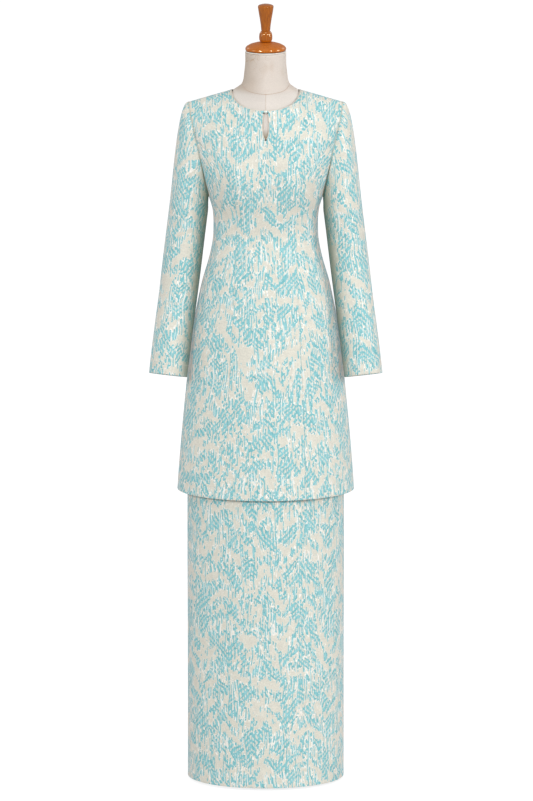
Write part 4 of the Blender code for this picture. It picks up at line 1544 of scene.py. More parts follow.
@dataclass
class Tunic:
    """The tunic's front, side fronts and back, with its keyhole and sewing."""

    box: Workbox
    block: TunicBlock
    keyhole: Keyhole = Keyhole()
    sewing: Sewing = Sewing(hem_depth=0.028)
    yoke_seam_start: float = 0.02
    edge_radius: float = 0.0006
    edge_sunk: float = 0.4
    neck_stitches: float = 0.0040
    dart_share: float = 0.42
    dart_width: float = 0.009
    dart_depth: float = 0.0011
    dart_heights: Span = (1.030, 1.290)
    row_spacing: float = 0.14
    tip_clear: float = 0.10
    tip_gap: float = 0.04
    slit_spacing: float = 0.0018
    below_slit: float = 0.05
    above_slit: float = 0.02
    slit_columns: Numbers = (0.012, 0.03, 0.06, 0.1)
    tack_spacing: float = 0.00048
    tack_lift: float = 0.0004
    tack_radius: float = 0.00032
    step_spacing: float = 0.22
    column_spacing: float = 0.045
    seam_columns: Numbers = (0.945, 0.975, 0.99, 1.0)
    front_flat: Span = (0.330, 0.880)
    front_area: float = 0.158
    back_flat: Span = (0.500, 0.880)
    back_area: float = 0.358
    side_flat: Span = (0.190, 0.800)
    side_area: float = 0.101
    back_grain: Span = (0.31, 0.043)
    side_grain: Span = (0.137, 0.021)
    creases: tuple[Crease, ...] = (
        Crease((0.128, -0.052, 1.262), (0.078, -0.103, 1.300), 0.010, -0.0012, (0.0, 0.0, -0.006)),
        Crease((0.122, -0.048, 1.238), (0.070, -0.100, 1.262), 0.011, 0.0009, (0.0, 0.0, -0.008)),
        Crease((0.110, -0.030, 1.160), (0.052, -0.082, 1.182), 0.012, -0.0010, (0.0, 0.0, -0.006)),
        Crease((0.110, -0.040, 1.130), (0.035, -0.095, 1.118), 0.014, 0.0009, (0.0, 0.0, -0.005)),
        Crease((0.112, -0.060, 0.930), (0.150, -0.078, 0.660), 0.022, 0.0016, (-0.006, 0.0, 0.0)),
        Crease((0.050, -0.128, 0.860), (0.072, -0.140, 0.640), 0.024, -0.0014, (0.004, 0.0, 0.0)),
        Crease((0.080, 0.080, 1.185), (0.020, 0.082, 1.160), 0.013, -0.0014, (0.0, 0.0, -0.006)),
        Crease((0.100, 0.060, 1.150), (0.030, 0.090, 1.126), 0.014, 0.0012, (0.0, 0.0, -0.006)),
        Crease((0.120, 0.060, 1.290), (0.075, 0.085, 1.350), 0.014, -0.0012, (0.006, 0.0, 0.0)),
        Crease((0.060, 0.130, 0.960), (0.085, 0.136, 0.650), 0.026, 0.0018, (0.005, 0.0, 0.0)),
        Crease((0.115, 0.095, 0.920), (0.150, 0.090, 0.650), 0.022, -0.0014, (0.0, 0.0, 0.0)),
    )

    def rows(self) -> Array:
        """The rows that every panel is drawn in."""
        underarm = float(self.block.low_rows)
        low = finely((0.0, underarm), self.row_spacing)
        high = finely((underarm, underarm + self.block.armhole_steps), self.step_spacing)
        return np.concatenate([low, high[1:]])

    def half_columns(self) -> Array:
        """Shares across half a panel, closer at its seam."""
        knots = (0.0, self.block.neck_share, self.seam_columns[0])
        return np.concatenate([finely(knots, self.column_spacing), self.seam_columns[1:]])

    def build(self) -> list[Piece]:
        """Make the four panels and the sewing on them."""
        return [self.build_front(), self.build_back(),
                *(self.build_side_front(side) for side in Side)]

    def slit_rows(self, rows: Array) -> Array:
        """The rows with closer ones along the keyhole, which hit its point and its top."""
        middle = np.array([self.block.front_row(np.zeros(1), row)[0, 2] for row in rows])
        low, high = self.keyhole.heights[0], self.keyhole.heights[-1]
        heights = np.append(finely((low, high), self.slit_spacing), high + self.keyhole.corner)
        close = np.interp(heights, middle, rows)
        outside = (rows < close[0] - self.below_slit) | (rows > close[-1] + self.above_slit)
        return np.sort(np.concatenate([rows[outside], close]))

    def build_front(self) -> Piece:
        """Make the centre front, with the keyhole parted down its middle."""
        half = np.unique(np.concatenate([self.half_columns(), self.slit_columns]))
        columns = np.concatenate([-half[::-1], half])
        side = np.repeat([-1.0, 1.0], len(half))
        rows = self.slit_rows(self.rows())
        points = np.array([self.block.front_row(columns, row) for row in rows])
        grid = self.shaped(ClothGrid(self.keyhole.part(points, side)), rows, columns)
        outline = self.slit_outline(grid.points, len(half))
        sewing = self.sewing
        lines = [grid.line(sewing.hem_depth), self.neck_line(grid, columns),
                 *self.slit_lines(grid, len(half))]
        grid.turn_edge(sewing.hem_depth, sewing.hem_fold)
        data = grid.mesh("tunic_front_cloth")
        self.close_middle(data, len(half), len(columns), len(grid.points))
        front = sewing.cloth("tunic_front", data, self.box)
        sewn = [
            self.build_keyhole_edge(outline),
            self.build_tacks(outline),
            self.build_neck_edge(),
            add_stitches("tunic_front_stitches", lines, self.box),
        ]
        return front

    def shaped(self, grid: ClothGrid, rows: Array, columns: Array) -> ClothGrid:
        """Lay a middle panel's threads, crease it and sink its seams.

        Args:
            grid: The panel.
            rows: Its rows.
            columns: Its columns.

        Returns:
            The grid itself.
        """
        block = self.block
        grid.keep_upright(int(np.searchsorted(rows, block.low_rows + block.lower_steps)))
        on_shoulder = np.clip((np.abs(columns) - block.neck_share) / self.yoke_seam_start, 0.0, 1.0)
        return self.sewing.fold(grid, on_both_sides(self.creases), last=on_shoulder)

    def close_middle(self, data: Mesh, half: int, columns: int, rows: int) -> None:
        """Take out the faces between the two middle columns and join those where they meet.

        Args:
            data: The front panel's mesh.
            half: How many columns each side has.
            columns: How many columns there are.
            rows: How many rows there are.
        """
        mesh = bmesh.new()
        mesh.from_mesh(data)
        mesh.verts.ensure_lookup_table()
        starts = range(half - 1, rows * columns, columns)
        middle = [mesh.verts[start + beside] for start in starts for beside in (0, 1)]
        pairs = set(middle)
        between_them = [face for face in mesh.faces if pairs.issuperset(face.verts)]
        bmesh.ops.delete(mesh, geom=between_them, context="FACES_ONLY")
        bmesh.ops.remove_doubles(mesh, verts=middle, dist=1e-5)
        mesh.to_mesh(data)
        mesh.free()

    def neck_line(self, grid: ClothGrid, columns: Array) -> Line:
        """The row of stitches below the neckline of a panel."""
        path, outward = grid.line(self.neck_stitches, at_end=True)
        on_neck = np.abs(columns) <= self.block.neck_share
        return path[on_neck], outward[on_neck]

    def slit_lines(self, grid: ClothGrid, half: int) -> list[Line]:
        """The rows of stitches down both sides of the keyhole.

        Args:
            grid: The front panel.
            half: How many of its columns are on each side.

        Returns:
            The line of each row.
        """
        points, normals = grid.points, grid.normals()
        heights = self.keyhole.heights
        lines = []
        for beside, beyond in ((half + 1, half + 2), (half - 2, half - 3)):
            path = between(points[:, beside], points[:, beyond], 0.5)
            level = (path[:, 2] > heights[0]) & (path[:, 2] < heights[-1])
            lines.append((path[level], normals[level, beyond]))
        return lines

    def slit_outline(self, points: Array, half: int) -> Array:
        """The keyhole's edge.

        Args:
            points: The front panel's grid of points.
            half: How many of its columns are on each side.

        Returns:
            The points from the keyhole's own point up the left side and down the right one.
        """
        right, left = points[:, half - 1], points[:, half]
        open_rows = np.flatnonzero(left[:, 0] - right[:, 0] > 2e-5)
        point = left[open_rows[0] - 1 : open_rows[0]]
        return np.concatenate([point, left[open_rows], right[open_rows][::-1]])

    def build_keyhole_edge(self, outline: Array) -> Piece:
        """Make the rolled cream edge round the keyhole."""
        path = outline + np.array([0.0, self.edge_radius * self.edge_sunk, 0.0])
        data = tube_mesh("keyhole_edge", path, self.edge_radius, 8, closed=True)
        return add_piece("keyhole_edge", data, (self.box.edging,))

    def build_tacks(self, outline: Array) -> Piece:
        """Make the dark bar tacks at the keyhole's point and its two top corners, whose dark thread
        also stands in for the deep shade in those corners.
        """
        corners = outline[outline[:, 2].max() - outline[:, 2] < 1e-4]
        places = [(outline[0], 0.0017, 7), (corners[0], 0.0016, 5), (corners[-1], 0.0016, 5)]
        parts = []
        for centre, reach, count in places:
            lifts = (np.arange(count) - (count - 1) / 2) * self.tack_spacing
            for lift in lifts:
                path = centre + np.array([
                    (-reach, 0.0, lift),
                    (-reach * 0.4, -self.tack_lift, lift),
                    (reach * 0.4, -self.tack_lift, lift),
                    (reach, 0.0, lift),
                ])
                parts.append(tube_mesh("tack", path, self.tack_radius, 6))
        data = joined("keyhole_tacks", parts)
        return add_piece("keyhole_tacks", data, (self.box.dark_thread,))

    def build_back(self) -> Piece:
        """Make the back."""
        dart = self.dart_share + np.linspace(-2.0, 2.0, 9) * self.dart_width
        half = np.unique(np.concatenate([self.half_columns(), dart]))
        columns = np.concatenate([-half[:0:-1], half])
        rows = self.rows()
        grid = ClothGrid(np.array([self.block.back_row(columns, row) for row in rows]))
        self.shaped(grid, rows, columns).shift_grain(*self.back_grain)
        self.take_in_darts(grid, columns)
        lines = [self.neck_line(grid, columns)]
        back, *sewn = self.sewing.hemmed("tunic_back", grid, self.box, lines=lines)
        return back

    def take_in_darts(self, grid: ClothGrid, columns: Array) -> None:
        """Let the back dip along its two waist darts, which run out at both ends."""
        low, high = self.dart_heights
        height = grid.points[..., 2]
        run_out = np.clip(1.0 - ((2 * height - low - high) / (high - low)) ** 2, 0.0, 1.0) ** 0.5
        across = (np.abs(columns) - self.dart_share) / self.dart_width
        grid.move_out(-self.dart_depth * np.exp(-(across**2))[None, :] * run_out)

    def build_side_front(self, side: Side) -> Piece:
        """Make one side front."""
        inner = 1.0 - np.array(self.seam_columns[::-1])
        middle = finely((inner[-1], self.seam_columns[0]), 2 * self.column_spacing)
        columns = np.concatenate([inner[:-1], middle, self.seam_columns[1:]])
        rows = self.rows()
        tip = self.block.low_rows + self.block.lower_steps
        rows = np.append(rows[rows < tip - self.tip_clear], tip - self.tip_gap)
        points = np.array([self.block.side_front_row(columns, row) for row in rows])
        grid = ClothGrid(points if side is Side.LEFT else mirrored(points))
        across, along = self.side_grain
        grid.shift_grain(side.value * across, along)
        self.sewing.fold(grid, on_both_sides(self.creases))
        name = f"tunic_side_front_{side.name.lower()}"
        piece, *sewn = self.sewing.hemmed(name, grid, self.box)
        return piece

    def neck_path(self) -> Array:
        """The neckline's edge, all round from the front's middle over the left shoulder."""
        turns = np.linspace(0.0, QUARTER, 40)
        front = self.block.neckline.points(turns, True)
        back = self.block.neckline.points(turns, False)[::-1]
        left = np.concatenate([front, back[1:]])
        return np.concatenate([left, left[-2:0:-1] * np.array(MIRROR)])

    def build_neck_edge(self) -> Piece:
        """Make the rolled edge that finishes the neckline."""
        data = tube_mesh("neckline_edge", self.neck_path(), self.edge_radius, 10, closed=True)
        return add_piece("neckline_edge", data, (self.box.edging,))


# ---- the sleeves


@dataclass
class Sleeves:
    """Two long set-in sleeves, bent a little forward at the elbow."""

    box: Workbox
    block: TunicBlock
    first_row: float = 0.03
    head_rows: int = 6
    tube_rows: int = 10
    head_reach: float = 0.066
    head_bulge: float = 0.35
    slope_step: float = 0.004
    seam_gap: float = 0.0003
    seam_sunk: float = 0.0004
    seam_roll: float = 0.0007
    sewing: Sewing = Sewing(hem_depth=0.024)
    grain_start: float = 0.612
    grain_apart: float = 0.151
    around_steps: int = 96
    row_spacing: float = 0.12
    flat: Span = (0.330, 0.600)
    area: float = 0.150
    heights: Numbers = (1.2200, 1.1700, 1.1000, 1.0360, 0.9700, 0.9060, 0.8755)
    outs: Numbers = (0.1624, 0.1686, 0.1771, 0.1850, 0.1940, 0.2020, 0.2056)
    forwards: Numbers = (0.0010, 0.0000, 0.0040, 0.0145, 0.0295, 0.0435, 0.0495)
    half_widths: Numbers = (0.0413, 0.0413, 0.0413, 0.0408, 0.0408, 0.0408, 0.0405)
    half_depths: Numbers = (0.0610, 0.0595, 0.0570, 0.0550, 0.0530, 0.0505, 0.0490)
    creases: tuple[Crease, ...] = (
        Crease((0.150, -0.050, 1.075), (0.212, -0.040, 1.052), 0.009, -0.0013, (0, -0.01, -0.004)),
        Crease((0.152, -0.052, 1.048), (0.214, -0.045, 1.030), 0.010, 0.0010, (0, -0.01, -0.004)),
        Crease((0.150, -0.045, 1.110), (0.205, -0.052, 1.092), 0.011, -0.0009, (0, -0.01, -0.003)),
        Crease((0.126, -0.040, 1.262), (0.160, -0.055, 1.300), 0.011, -0.0013, (0.0, 0.0, 0.0)),
        Crease((0.132, -0.046, 1.215), (0.175, -0.058, 1.240), 0.013, 0.0010, (0.0, 0.0, 0.0)),
        Crease((0.150, 0.058, 1.150), (0.205, 0.045, 1.120), 0.014, -0.0012, (0.0, 0.01, 0.0)),
        Crease((0.200, -0.070, 0.990), (0.212, -0.088, 0.900), 0.014, 0.0009, (0.0, 0.0, 0.0)),
    )

    def __post_init__(self) -> None:
        """Make the curves of the tables."""
        self.out, self.forward, self.wide, self.deep = (
            SmoothCurve(self.heights, column)
            for column in (self.outs, self.forwards, self.half_widths, self.half_depths)
        )

    def axis(self, height: float) -> Array:
        """A point of the left sleeve's middle line."""
        return np.array([float(self.out(height)), -float(self.forward(height)), height])

    def way(self, height: float) -> Array:
        """The way down the sleeve at a height of its middle line."""
        high = min(height + self.slope_step, self.heights[0])
        low = max(height - self.slope_step, self.heights[-1])
        return unit(self.axis(low) - self.axis(high))

    def ring(self, height: float, turn: Array) -> Array:
        """Points round the sleeve, turn 0 on its outer side and a quarter circle in front."""
        way = self.way(height)
        outward = np.array([1.0, 0.0, 0.0])
        outward = unit(outward - way * (outward @ way))
        forward = unit(np.cross(way, outward))
        if forward[1] > 0:
            forward = -forward
        wide = self.wide(height) * np.cos(turn)[:, None]
        deep = self.deep(height) * np.sin(turn)[:, None]
        return self.axis(height) + outward * wide + forward * deep

    def armhole_ring(self, turn: Array) -> Array:
        """The armhole seam at each turn of the sleeve."""
        steps = self.block.armhole_steps
        points = []
        for angle in turn:
            around = (angle % TURN) / TURN * 2 * steps
            front = around <= steps
            step = steps - around if front else around - steps
            points.append(self.block.armhole(step, front))
        return np.array(points) + np.array([self.seam_gap, 0.0, 0.0])

    def grid(self, side: Side) -> ClothGrid:
        """One sleeve from its armhole down to its cuff, its columns from the seam under the arm."""
        turn = math.pi + turns(self.around_steps)
        start = self.armhole_ring(turn)
        top = self.heights[0]
        end = self.ring(top, turn)
        way = self.way(top)
        reach = np.linalg.norm(end - start, axis=-1, keepdims=True)
        topness = ((1.0 + np.cos(turn)) / 2.0)[:, None]
        head = np.array([self.head_reach, 0.0, 0.0]) * topness**2
        fall = way * reach * (1.0 - topness)
        sideways = np.stack([0 * turn, -np.sin(turn), 0 * turn], axis=-1)
        bulge = sideways * reach * self.head_bulge * topness
        rows = []
        for share in finely((0.0, self.first_row, 1.0), self.row_spacing / self.head_rows)[:-1]:
            rows.append(hermite(start, end, head + fall + bulge, way * reach, share))
        level = len(rows)
        for share in finely((0.0, 1.0), self.row_spacing / self.tube_rows):
            rows.append(self.ring(between(top, self.heights[-1], share), turn))
        points = np.array(rows) if side is Side.LEFT else mirrored(np.array(rows))
        return ClothGrid(points, closed=True).measure_columns(level)

    def build_seam(self, name: str, side: Side) -> Piece:
        """Make the rolled seam allowance that fills the armhole seam, painted dark olive toward the
        underarm as the seam's shade.
        """
        path = self.armhole_ring(turns(self.around_steps)) - np.array([self.seam_sunk, 0.0, 0.0])
        path[:, 0] *= side.value
        data = tube_mesh(name, path, self.seam_roll, 8, closed=True)
        return add_piece(name, data, (self.box.allowance,))

    def build(self) -> list[Piece]:
        """Make both sleeves.

        Returns:
            The left sleeve and the right one.
        """
        sleeves = []
        for side in Side:
            grid = self.grid(side)
            along = self.grain_start + side.value * self.grain_apart
            grid.shift_grain(0.0, along, upside_down=True)
            left = side is Side.LEFT
            folds = [fold if left else fold.on_the_right() for fold in self.creases]
            self.sewing.fold(grid, folds, first=1.0)
            name = f"sleeve_{side.name.lower()}"
            piece, *sewn = self.sewing.hemmed(name, grid, self.box, at_end=True)
            # The sleeves hang so close that they would keep all soft light off the tunic's sides.
            piece.visible_diffuse = False
            sewn.append(self.build_seam(f"{name}_armhole_seam", side))
            sleeves.append(piece)
        return sleeves


# ---- the skirt


@dataclass
class Skirt:
    """A long straight skirt of a front and a back on a narrow waistband."""

    box: Workbox
    hem_height: float = 0.0060
    band_bottom: float = 1.0955
    band_top: float = 1.1255
    sewing: Sewing = Sewing(hem_depth=0.035, seam_dip=0.0006)
    band_sewing: Sewing = Sewing(hem_depth=0.024)
    row_spacing: float = 0.007
    band_spacing: float = 0.005
    band_steps: int = 96
    column_spacing: float = 0.03
    last_column: float = 0.97
    seam_columns: Numbers = (1.0 - 0.016, 1.0 - 0.006, 1.0)
    front_grain: Span = (0.0, -0.618)
    back_grain: Span = (0.47, -0.618)
    band_grain: Span = (0.9, 0.5)
    flat: Span = (0.500, 1.125)
    area: float = 0.520
    band_flat: Span = (0.660, 0.060)
    creases: tuple[Crease, ...] = (
        Crease((0.030, -0.125, 0.620), (0.046, -0.142, 0.060), 0.030, 0.0012, (0.008, 0.0, 0.0)),
        Crease((0.092, -0.100, 0.600), (0.100, -0.112, 0.080), 0.026, -0.0013, (0.006, 0.0, 0.0)),
        Crease((0.140, -0.060, 0.560), (0.150, -0.055, 0.030), 0.026, 0.0012, (0.0, 0.0, 0.0)),
        Crease((0.050, 0.130, 0.700), (0.060, 0.138, 0.060), 0.030, -0.0016, (0.008, 0.0, 0.0)),
        Crease((0.110, 0.100, 0.680), (0.118, 0.100, 0.050), 0.028, 0.0014, (0.0, 0.0, 0.0)),
    )

    def __post_init__(self) -> None:
        """Make the curves of the tables."""
        top = Section(self.band_bottom, 0.1188, 0.0962, 0.0950, 2.10)
        self.sections = Sections((
            Section(self.hem_height, 0.1654, 0.1450, 0.1450, 2.00),
            Section(0.3200, 0.1654, 0.1450, 0.1450, 2.00),
            Section(0.6250, 0.1654, 0.1425, 0.1440, 2.00),
            Section(0.8000, 0.1615, 0.1330, 0.1390, 2.05),
            Section(0.9000, 0.1550, 0.1255, 0.1330, 2.10),
            Section(0.9603, 0.1480, 0.1200, 0.1280, 2.10),
            Section(1.0136, 0.1385, 0.1118, 0.1185, 2.10),
            Section(1.0669, 0.1268, 0.1020, 0.1045, 2.10),
            top,
        ))
        self.band = Sections((top, Section(self.band_top, 0.1105, 0.0895, 0.0845, 2.10)))

    def build(self) -> list[Piece]:
        """Make the front, the back and the waistband."""
        return [
            self.build_half("skirt_front", True),
            self.build_half("skirt_back", False),
            self.build_band(),
        ]

    def build_half(self, name: str, front: bool) -> Piece:
        """Make the front or the back.

        Args:
            name: The node's name.
            front: Whether it is the front.

        Returns:
            The piece.
        """
        half = np.append(finely((0.0, self.last_column), self.column_spacing), self.seam_columns)
        columns = np.concatenate([-half[:0:-1], half])
        outward = (1.0 if front else -1.0) * np.where(columns < 0, -1.0, 1.0)
        rows = []
        for height in finely((self.hem_height, self.band_bottom), self.row_spacing):
            row = self.sections.points(height, np.abs(columns) * QUARTER, front)
            row[:, 0] *= outward
            rows.append(row)
        grid = ClothGrid(np.array(rows))
        grid.shift_grain(*(self.front_grain if front else self.back_grain))
        self.sewing.fold(grid, on_both_sides(self.creases), last=1.0)
        piece, *sewn = self.sewing.hemmed(name, grid, self.box)
        return piece

    def build_band(self) -> Piece:
        """Make the waistband, which the tunic hides."""
        heights = finely((self.band_bottom, self.band_top), self.band_spacing)
        angle = turns(self.band_steps)
        rings = np.array([self.band.ring(height, angle) for height in heights])
        grid = ClothGrid(rings, closed=True)
        sewing = self.band_sewing
        grid.shift_grain(*self.band_grain).turn_edge(sewing.hem_depth, sewing.hem_fold, at_end=True)
        piece = sewing.cloth("skirt_waistband", grid.mesh("skirt_waistband_cloth"), self.box)
        return piece


# ---- the dress form and its stand


@dataclass
class DressForm:
    """A limbless torso and neck under a cotton cover, with a turned cap and knob on top."""

    box: Workbox
    bottom: float = 0.8000
    neck_top: float = 1.5555
    segments: int = 112
    row_spacing: float = 0.006
    turned_steps: int = 96
    lid_shares: Numbers = (0.02, 0.5, 0.9)
    turned_spans: int = 4
    pin: float = 1e-4
    trim_radius: float = 0.0427
    trim_thickness: float = 0.0022
    seam_gap: float = 0.0003
    base_seam_front: float = 1.4752
    base_seam_side: float = 1.4886
    front_seam_start: float = 1.4410
    back_seam_start: float = 0.8200
    seam_points: int = 120
    base_seam_points: int = 160
    piping_points: int = 120
    welt_radius: float = 0.0005
    seam_share: float = 0.6
    knot_radius: float = 0.0009
    knot: tuple[Point, ...] = ((-0.0012, -0.0002, 0.0), (0.0, -0.0007, 0.0), (0.0012, -0.0002, 0.0))
    cap: tuple[Span, ...] = (
        (0.0, 1.5768), (0.0125, 1.5766), (0.0220, 1.5752), (0.0320, 1.5722), (0.0395, 1.5682),
        (0.0425, 1.5650), (0.0432, 1.5622), (0.0427, 1.5600), (0.0410, 1.5588), (0.0, 1.5588),
    )
    knob: tuple[Span, ...] = (
        (0.0, 1.6580), (0.0080, 1.6570), (0.0140, 1.6552), (0.0165, 1.6532), (0.0166, 1.6510),
        (0.0150, 1.6400), (0.0125, 1.6260), (0.0104, 1.6120), (0.0097, 1.6040), (0.0095, 1.6014),
        (0.0086, 1.6004), (0.0104, 1.5994), (0.0130, 1.5955), (0.0139, 1.5900), (0.0140, 1.5862),
        (0.0137, 1.5818), (0.0120, 1.5780), (0.0104, 1.5771), (0.0, 1.5771),
    )
    bust: Bust = Bust()

    def __post_init__(self) -> None:
        """Make the curves of the table."""
        self.sections = Sections([Section(*row) for row in (
            (self.bottom, 0.1420, 0.1090, 0.1200, 2.15),
            (0.8140, 0.1475, 0.1130, 0.1250, 2.15),
            (0.8650, 0.1490, 0.1150, 0.1270, 2.15),
            (0.9070, 0.1465, 0.1140, 0.1250, 2.15),
            (0.9603, 0.1395, 0.1105, 0.1190, 2.15),
            (1.0136, 0.1300, 0.1030, 0.1100, 2.15),
            (1.0669, 0.1185, 0.0935, 0.0960, 2.15),
            (1.1000, 0.1100, 0.0875, 0.0865, 2.15),
            (1.1255, 0.1040, 0.0830, 0.0775, 2.15),
            (1.1522, 0.1010, 0.0800, 0.0715, 2.15),
            (1.1778, 0.1000, 0.0785, 0.0685, 2.15),
            (1.2204, 0.1010, 0.0845, 0.0725, 2.20),
            (1.2490, 0.1050, 0.0910, 0.0785, 2.20),
            (1.2900, 0.1150, 0.0978, 0.0860, 2.20),
            (1.3310, 0.1270, 0.0980, 0.0890, 2.15),
            (1.3760, 0.1390, 0.0956, 0.0880, 1.95),
            (1.4050, 0.1455, 0.0893, 0.0800, 1.66),
            (1.4230, 0.1450, 0.0845, 0.0735, 1.43),
            (1.4360, 0.1330, 0.0801, 0.0675, 1.31),
            (1.4480, 0.1070, 0.0757, 0.0620, 1.28),
            (1.4590, 0.0842, 0.0695, 0.0575, 1.40),
            (1.4711, 0.0708, 0.0672, 0.0545, 1.58),
            (1.4766, 0.0670, 0.0660, 0.0537, 1.75),
            (1.4811, 0.0594, 0.0648, 0.0528, 1.98),
            (1.4861, 0.0522, 0.0622, 0.0512, 2.00),
            (1.4900, 0.0497, 0.0600, 0.0500, 2.00),
            (1.4977, 0.0470, 0.0565, 0.0480, 2.00),
            (1.5105, 0.0455, 0.0525, 0.0460, 2.00),
            (1.5316, 0.0432, 0.0470, 0.0440, 2.00),
            (self.neck_top, 0.0430, 0.0432, 0.0432, 2.00),
        )])

    def skin(self, height: float, angle: Array) -> Array:
        """A ring of the form's skin."""
        return self.bust.lift(self.sections.ring(height, angle))

    def skin_line(self, heights: Array | float, angles: Array | float) -> Array:
        """A line on the form's skin, by heights and by angles from the front."""
        spots = np.broadcast(heights, angles)
        return np.array([self.skin(height, np.array([angle]))[0] for height, angle in spots])

    def build(self) -> list[Piece]:
        """Make the form and what is fixed to it.

        Returns:
            The torso, its seams, the piping, the cap and the knob.
        """
        rings = [self.skin(height, turns(self.segments))
                 for height in finely(self.sections.heights, self.row_spacing)]
        rings = [*self.lid(rings[0]), *rings, *self.lid(rings[-1])[::-1]]
        data = ClothGrid(np.array(rings), closed=True).mesh("form_torso_cover")
        fill_ends(data, self.segments)
        torso = add_piece("form_torso_cover", data, (self.box.cover,), ("form_torso",))
        return [
            torso,
            self.build_seams(),
            self.build_piping(),
            self.build_turned("form_cap_wood", self.cap, "form_neck_cap"),
            self.build_turned("form_knob_wood", self.knob, "form_finial"),
        ]

    def lid(self, ring: Array) -> list[Array]:
        """The rings inside an end's ring that all but close it, from the smallest."""
        return [between(ring.mean(axis=0), ring, share) for share in self.lid_shares]

    def base_seam(self) -> Array:
        """The seam round the foot of the neck."""
        angles = turns(self.base_seam_points)
        heights = between(self.base_seam_front, self.base_seam_side, np.sin(angles) ** 2)
        return self.skin_line(heights, angles)

    def build_seams(self) -> Piece:
        """Make the raised seams of the cover: round the neck's foot and down the front and back."""
        parts = [tube_mesh("seam", self.base_seam(), self.welt_radius, 8, closed=True)]
        for angle, low in ((0.0, self.front_seam_start), (math.pi, self.back_seam_start)):
            heights = np.linspace(low, self.base_seam_front, self.seam_points)
            path = self.skin_line(heights, angle)
            parts.append(tube_mesh("seam", path, self.welt_radius * self.seam_share, 8))
        knot = self.skin_line(self.base_seam_front, np.zeros(1)) + np.array(self.knot)
        parts.append(tube_mesh("knot", knot, self.knot_radius, 8))
        data = joined("form_cover_seams", parts)
        return add_piece("form_cover_seams", data, (self.box.tan_thread,))

    def build_piping(self) -> Piece:
        """Make the piping between the neck and its cap."""
        angle = turns(self.piping_points)
        radius = self.trim_thickness / 2
        height = self.neck_top + self.seam_gap + radius
        middle = self.trim_radius - radius
        path = np.stack([middle * np.sin(angle), -middle * np.cos(angle),
                         np.full_like(angle, height)], axis=-1)
        data = tube_mesh("form_piping", path, radius, 12, closed=True)
        return add_piece("form_piping", data, (self.box.piping,), ("form_neck_trim",))

    def build_turned(self, name: str, profile: Sequence[Span], node: str) -> Piece:
        """Make a turned piece from its profile, rounded between the profile's points.

        Args:
            name: The piece's name.
            profile: Radius and height, from the top's middle to the bottom's.
            node: The CAD node that it stands for.

        Returns:
            The piece.
        """
        angle = turns(self.turned_steps)
        knots = np.array(profile)
        knots[0, 0] = knots[-1, 0] = self.pin
        shares = np.arange(self.turned_spans) / self.turned_spans
        rows = [between(low, high, share)
                for low, high in zip(knots, knots[1:]) for share in shares]
        turned = np.array([*rows, knots[-1]])
        smooth = turned.copy()
        smooth[1:-1] = 0.25 * turned[:-2] + 0.5 * turned[1:-1] + 0.25 * turned[2:]
        ring = np.stack([np.sin(angle), -np.cos(angle), 0 * angle], axis=-1)
        upright = np.array([0.0, 0.0, 1.0])
        points = smooth[:, None, :1] * ring + smooth[:, None, 1:] * upright
        data = ClothGrid(points[::-1], closed=True).mesh(name)
        fill_ends(data, self.turned_steps)
        return add_piece(name, data, (self.box.wood,), (node,))


# ---- the studio


@dataclass(frozen=True)
class Softbox:
    """A square lamp that looks at the form."""

    name: str
    azimuth: float
    elevation: float
    size: float
    power: float
    distance: float = 12.0

    def build(self, target: Vector) -> None:
        """Hang the lamp and turn it to the target."""
        azimuth, elevation = math.radians(self.azimuth), math.radians(self.elevation)
        level = math.cos(elevation)
        way = Vector((math.sin(azimuth) * level, -math.cos(azimuth) * level, math.sin(elevation)))
        lamp = bpy.data.lights.new(self.name, "AREA")
        lamp.shape = "SQUARE"
        lamp.size = self.size
        lamp.energy = self.power
        holder = bpy.data.objects.new(self.name, lamp)
        holder.location = target + way * self.distance
        holder.rotation_euler = (-way).to_track_quat("-Z", "Y").to_euler()
        holder.visible_camera = False
        bpy.context.scene.collection.objects.link(holder)


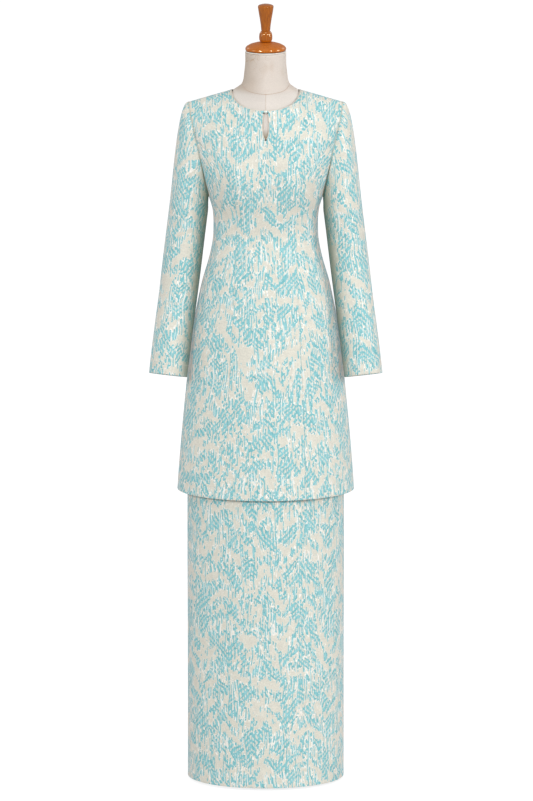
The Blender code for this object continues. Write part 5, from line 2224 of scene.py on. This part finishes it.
@dataclass
class Studio:
    """A white sweep, soft lamps and a long lens a little above the form's middle."""

    target: Point = (0.0016, 0.0, 0.8121)
    distance: float = 24.0
    elevation: float = 10.2
    sight: float = 200.0
    frame_height: float = 1.6905
    sensor: float = 36.0
    frame_shape: tuple[int, int] = (533, 801)
    floor_reach: float = 60.0
    ambient: float = 0.48
    lit: Point = (0.0, 0.0, 1.0)
    lamps: tuple[Softbox, ...] = (
        Softbox("front_lamp_left", 32.0, 20.0, 1.6, 365.0),
        Softbox("side_lamp_left", 74.0, 13.0, 3.9, 400.0),
        Softbox("front_lamp_right", -30.0, 20.0, 1.6, 430.0),
        Softbox("side_lamp_right", -74.0, 13.0, 3.9, 105.0),
        Softbox("top_lamp", 0.0, 60.0, 3.9, 90.0),
        Softbox("back_lamp_left", 130.0, 25.0, 3.9, 90.0),
        Softbox("back_lamp_right", -130.0, 25.0, 3.9, 90.0),
    )

    def build(self) -> None:
        """Set up the camera, lamps, sky and floor."""
        self.build_camera()
        self.build_light()
        self.build_floor()
        bpy.context.scene.view_settings.view_transform = "Standard"

    def build_camera(self) -> None:
        """Stand the camera back and fit the frame's height."""
        camera = bpy.data.cameras.new("camera")
        camera.sensor_width = self.sensor
        camera.sensor_fit = "HORIZONTAL"
        wide, high = self.frame_shape
        frame_width = self.frame_height * wide / high
        camera.lens = self.sensor * self.distance / frame_width
        camera.clip_end = self.sight
        holder = bpy.data.objects.new("camera", camera)
        tilt = math.radians(self.elevation)
        way = Vector((0.0, -math.cos(tilt), math.sin(tilt)))
        holder.location = Vector(self.target) + way * self.distance
        holder.rotation_euler = (QUARTER - tilt, 0.0, 0.0)
        bpy.context.scene.collection.objects.link(holder)
        bpy.context.scene.camera = holder

    def build_light(self) -> None:
        """Light the form from all round, and more from the front."""
        world = bpy.data.worlds.new("studio")
        world.use_nodes = True
        sky = world.node_tree.nodes["Background"]
        sky.inputs["Color"].default_value = (1.0, 1.0, 1.0, 1.0)
        sky.inputs["Strength"].default_value = self.ambient
        bpy.context.scene.world = world
        for lamp in self.lamps:
            lamp.build(Vector(self.lit))

    def build_floor(self) -> None:
        """Lay the floor under the form."""
        corners = np.array([(-1, -1, 0), (1, -1, 0), (1, 1, 0), (-1, 1, 0)]) * self.floor_reach
        data = mesh_of("floor", corners, [(0, 1, 2, 3)])
        data.materials.append(PaleFloor().material())
        floor = bpy.data.objects.new("floor", data)
        floor.visible_diffuse = False
        floor.visible_glossy = False
        bpy.context.scene.collection.objects.link(floor)


# ---- everything in order


def dress_kept_nodes(box: Workbox) -> None:
    """Give the CAD nodes that stay in sight their finishes."""
    finishes = {"keyhole_facing": box.facing, "form_pole": box.steel, "form_base": box.steel}
    for name, material in finishes.items():
        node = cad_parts[name]
        node.data.materials.clear()
        node.data.materials.append(material)
        LOG.info("%s: kept, with a new finish", name)


def main() -> None:
    """Build every sub-assembly in order."""
    logging.basicConfig(level=logging.INFO, format="%(name)s: %(message)s")
    Studio().build()
    box = Workbox()
    block = TunicBlock()
    Tunic(box, block).build()
    Sleeves(box, block).build()
    Skirt(box).build()
    DressForm(box).build()
    dress_kept_nodes(box)


if __name__ == "__main__":
    main()
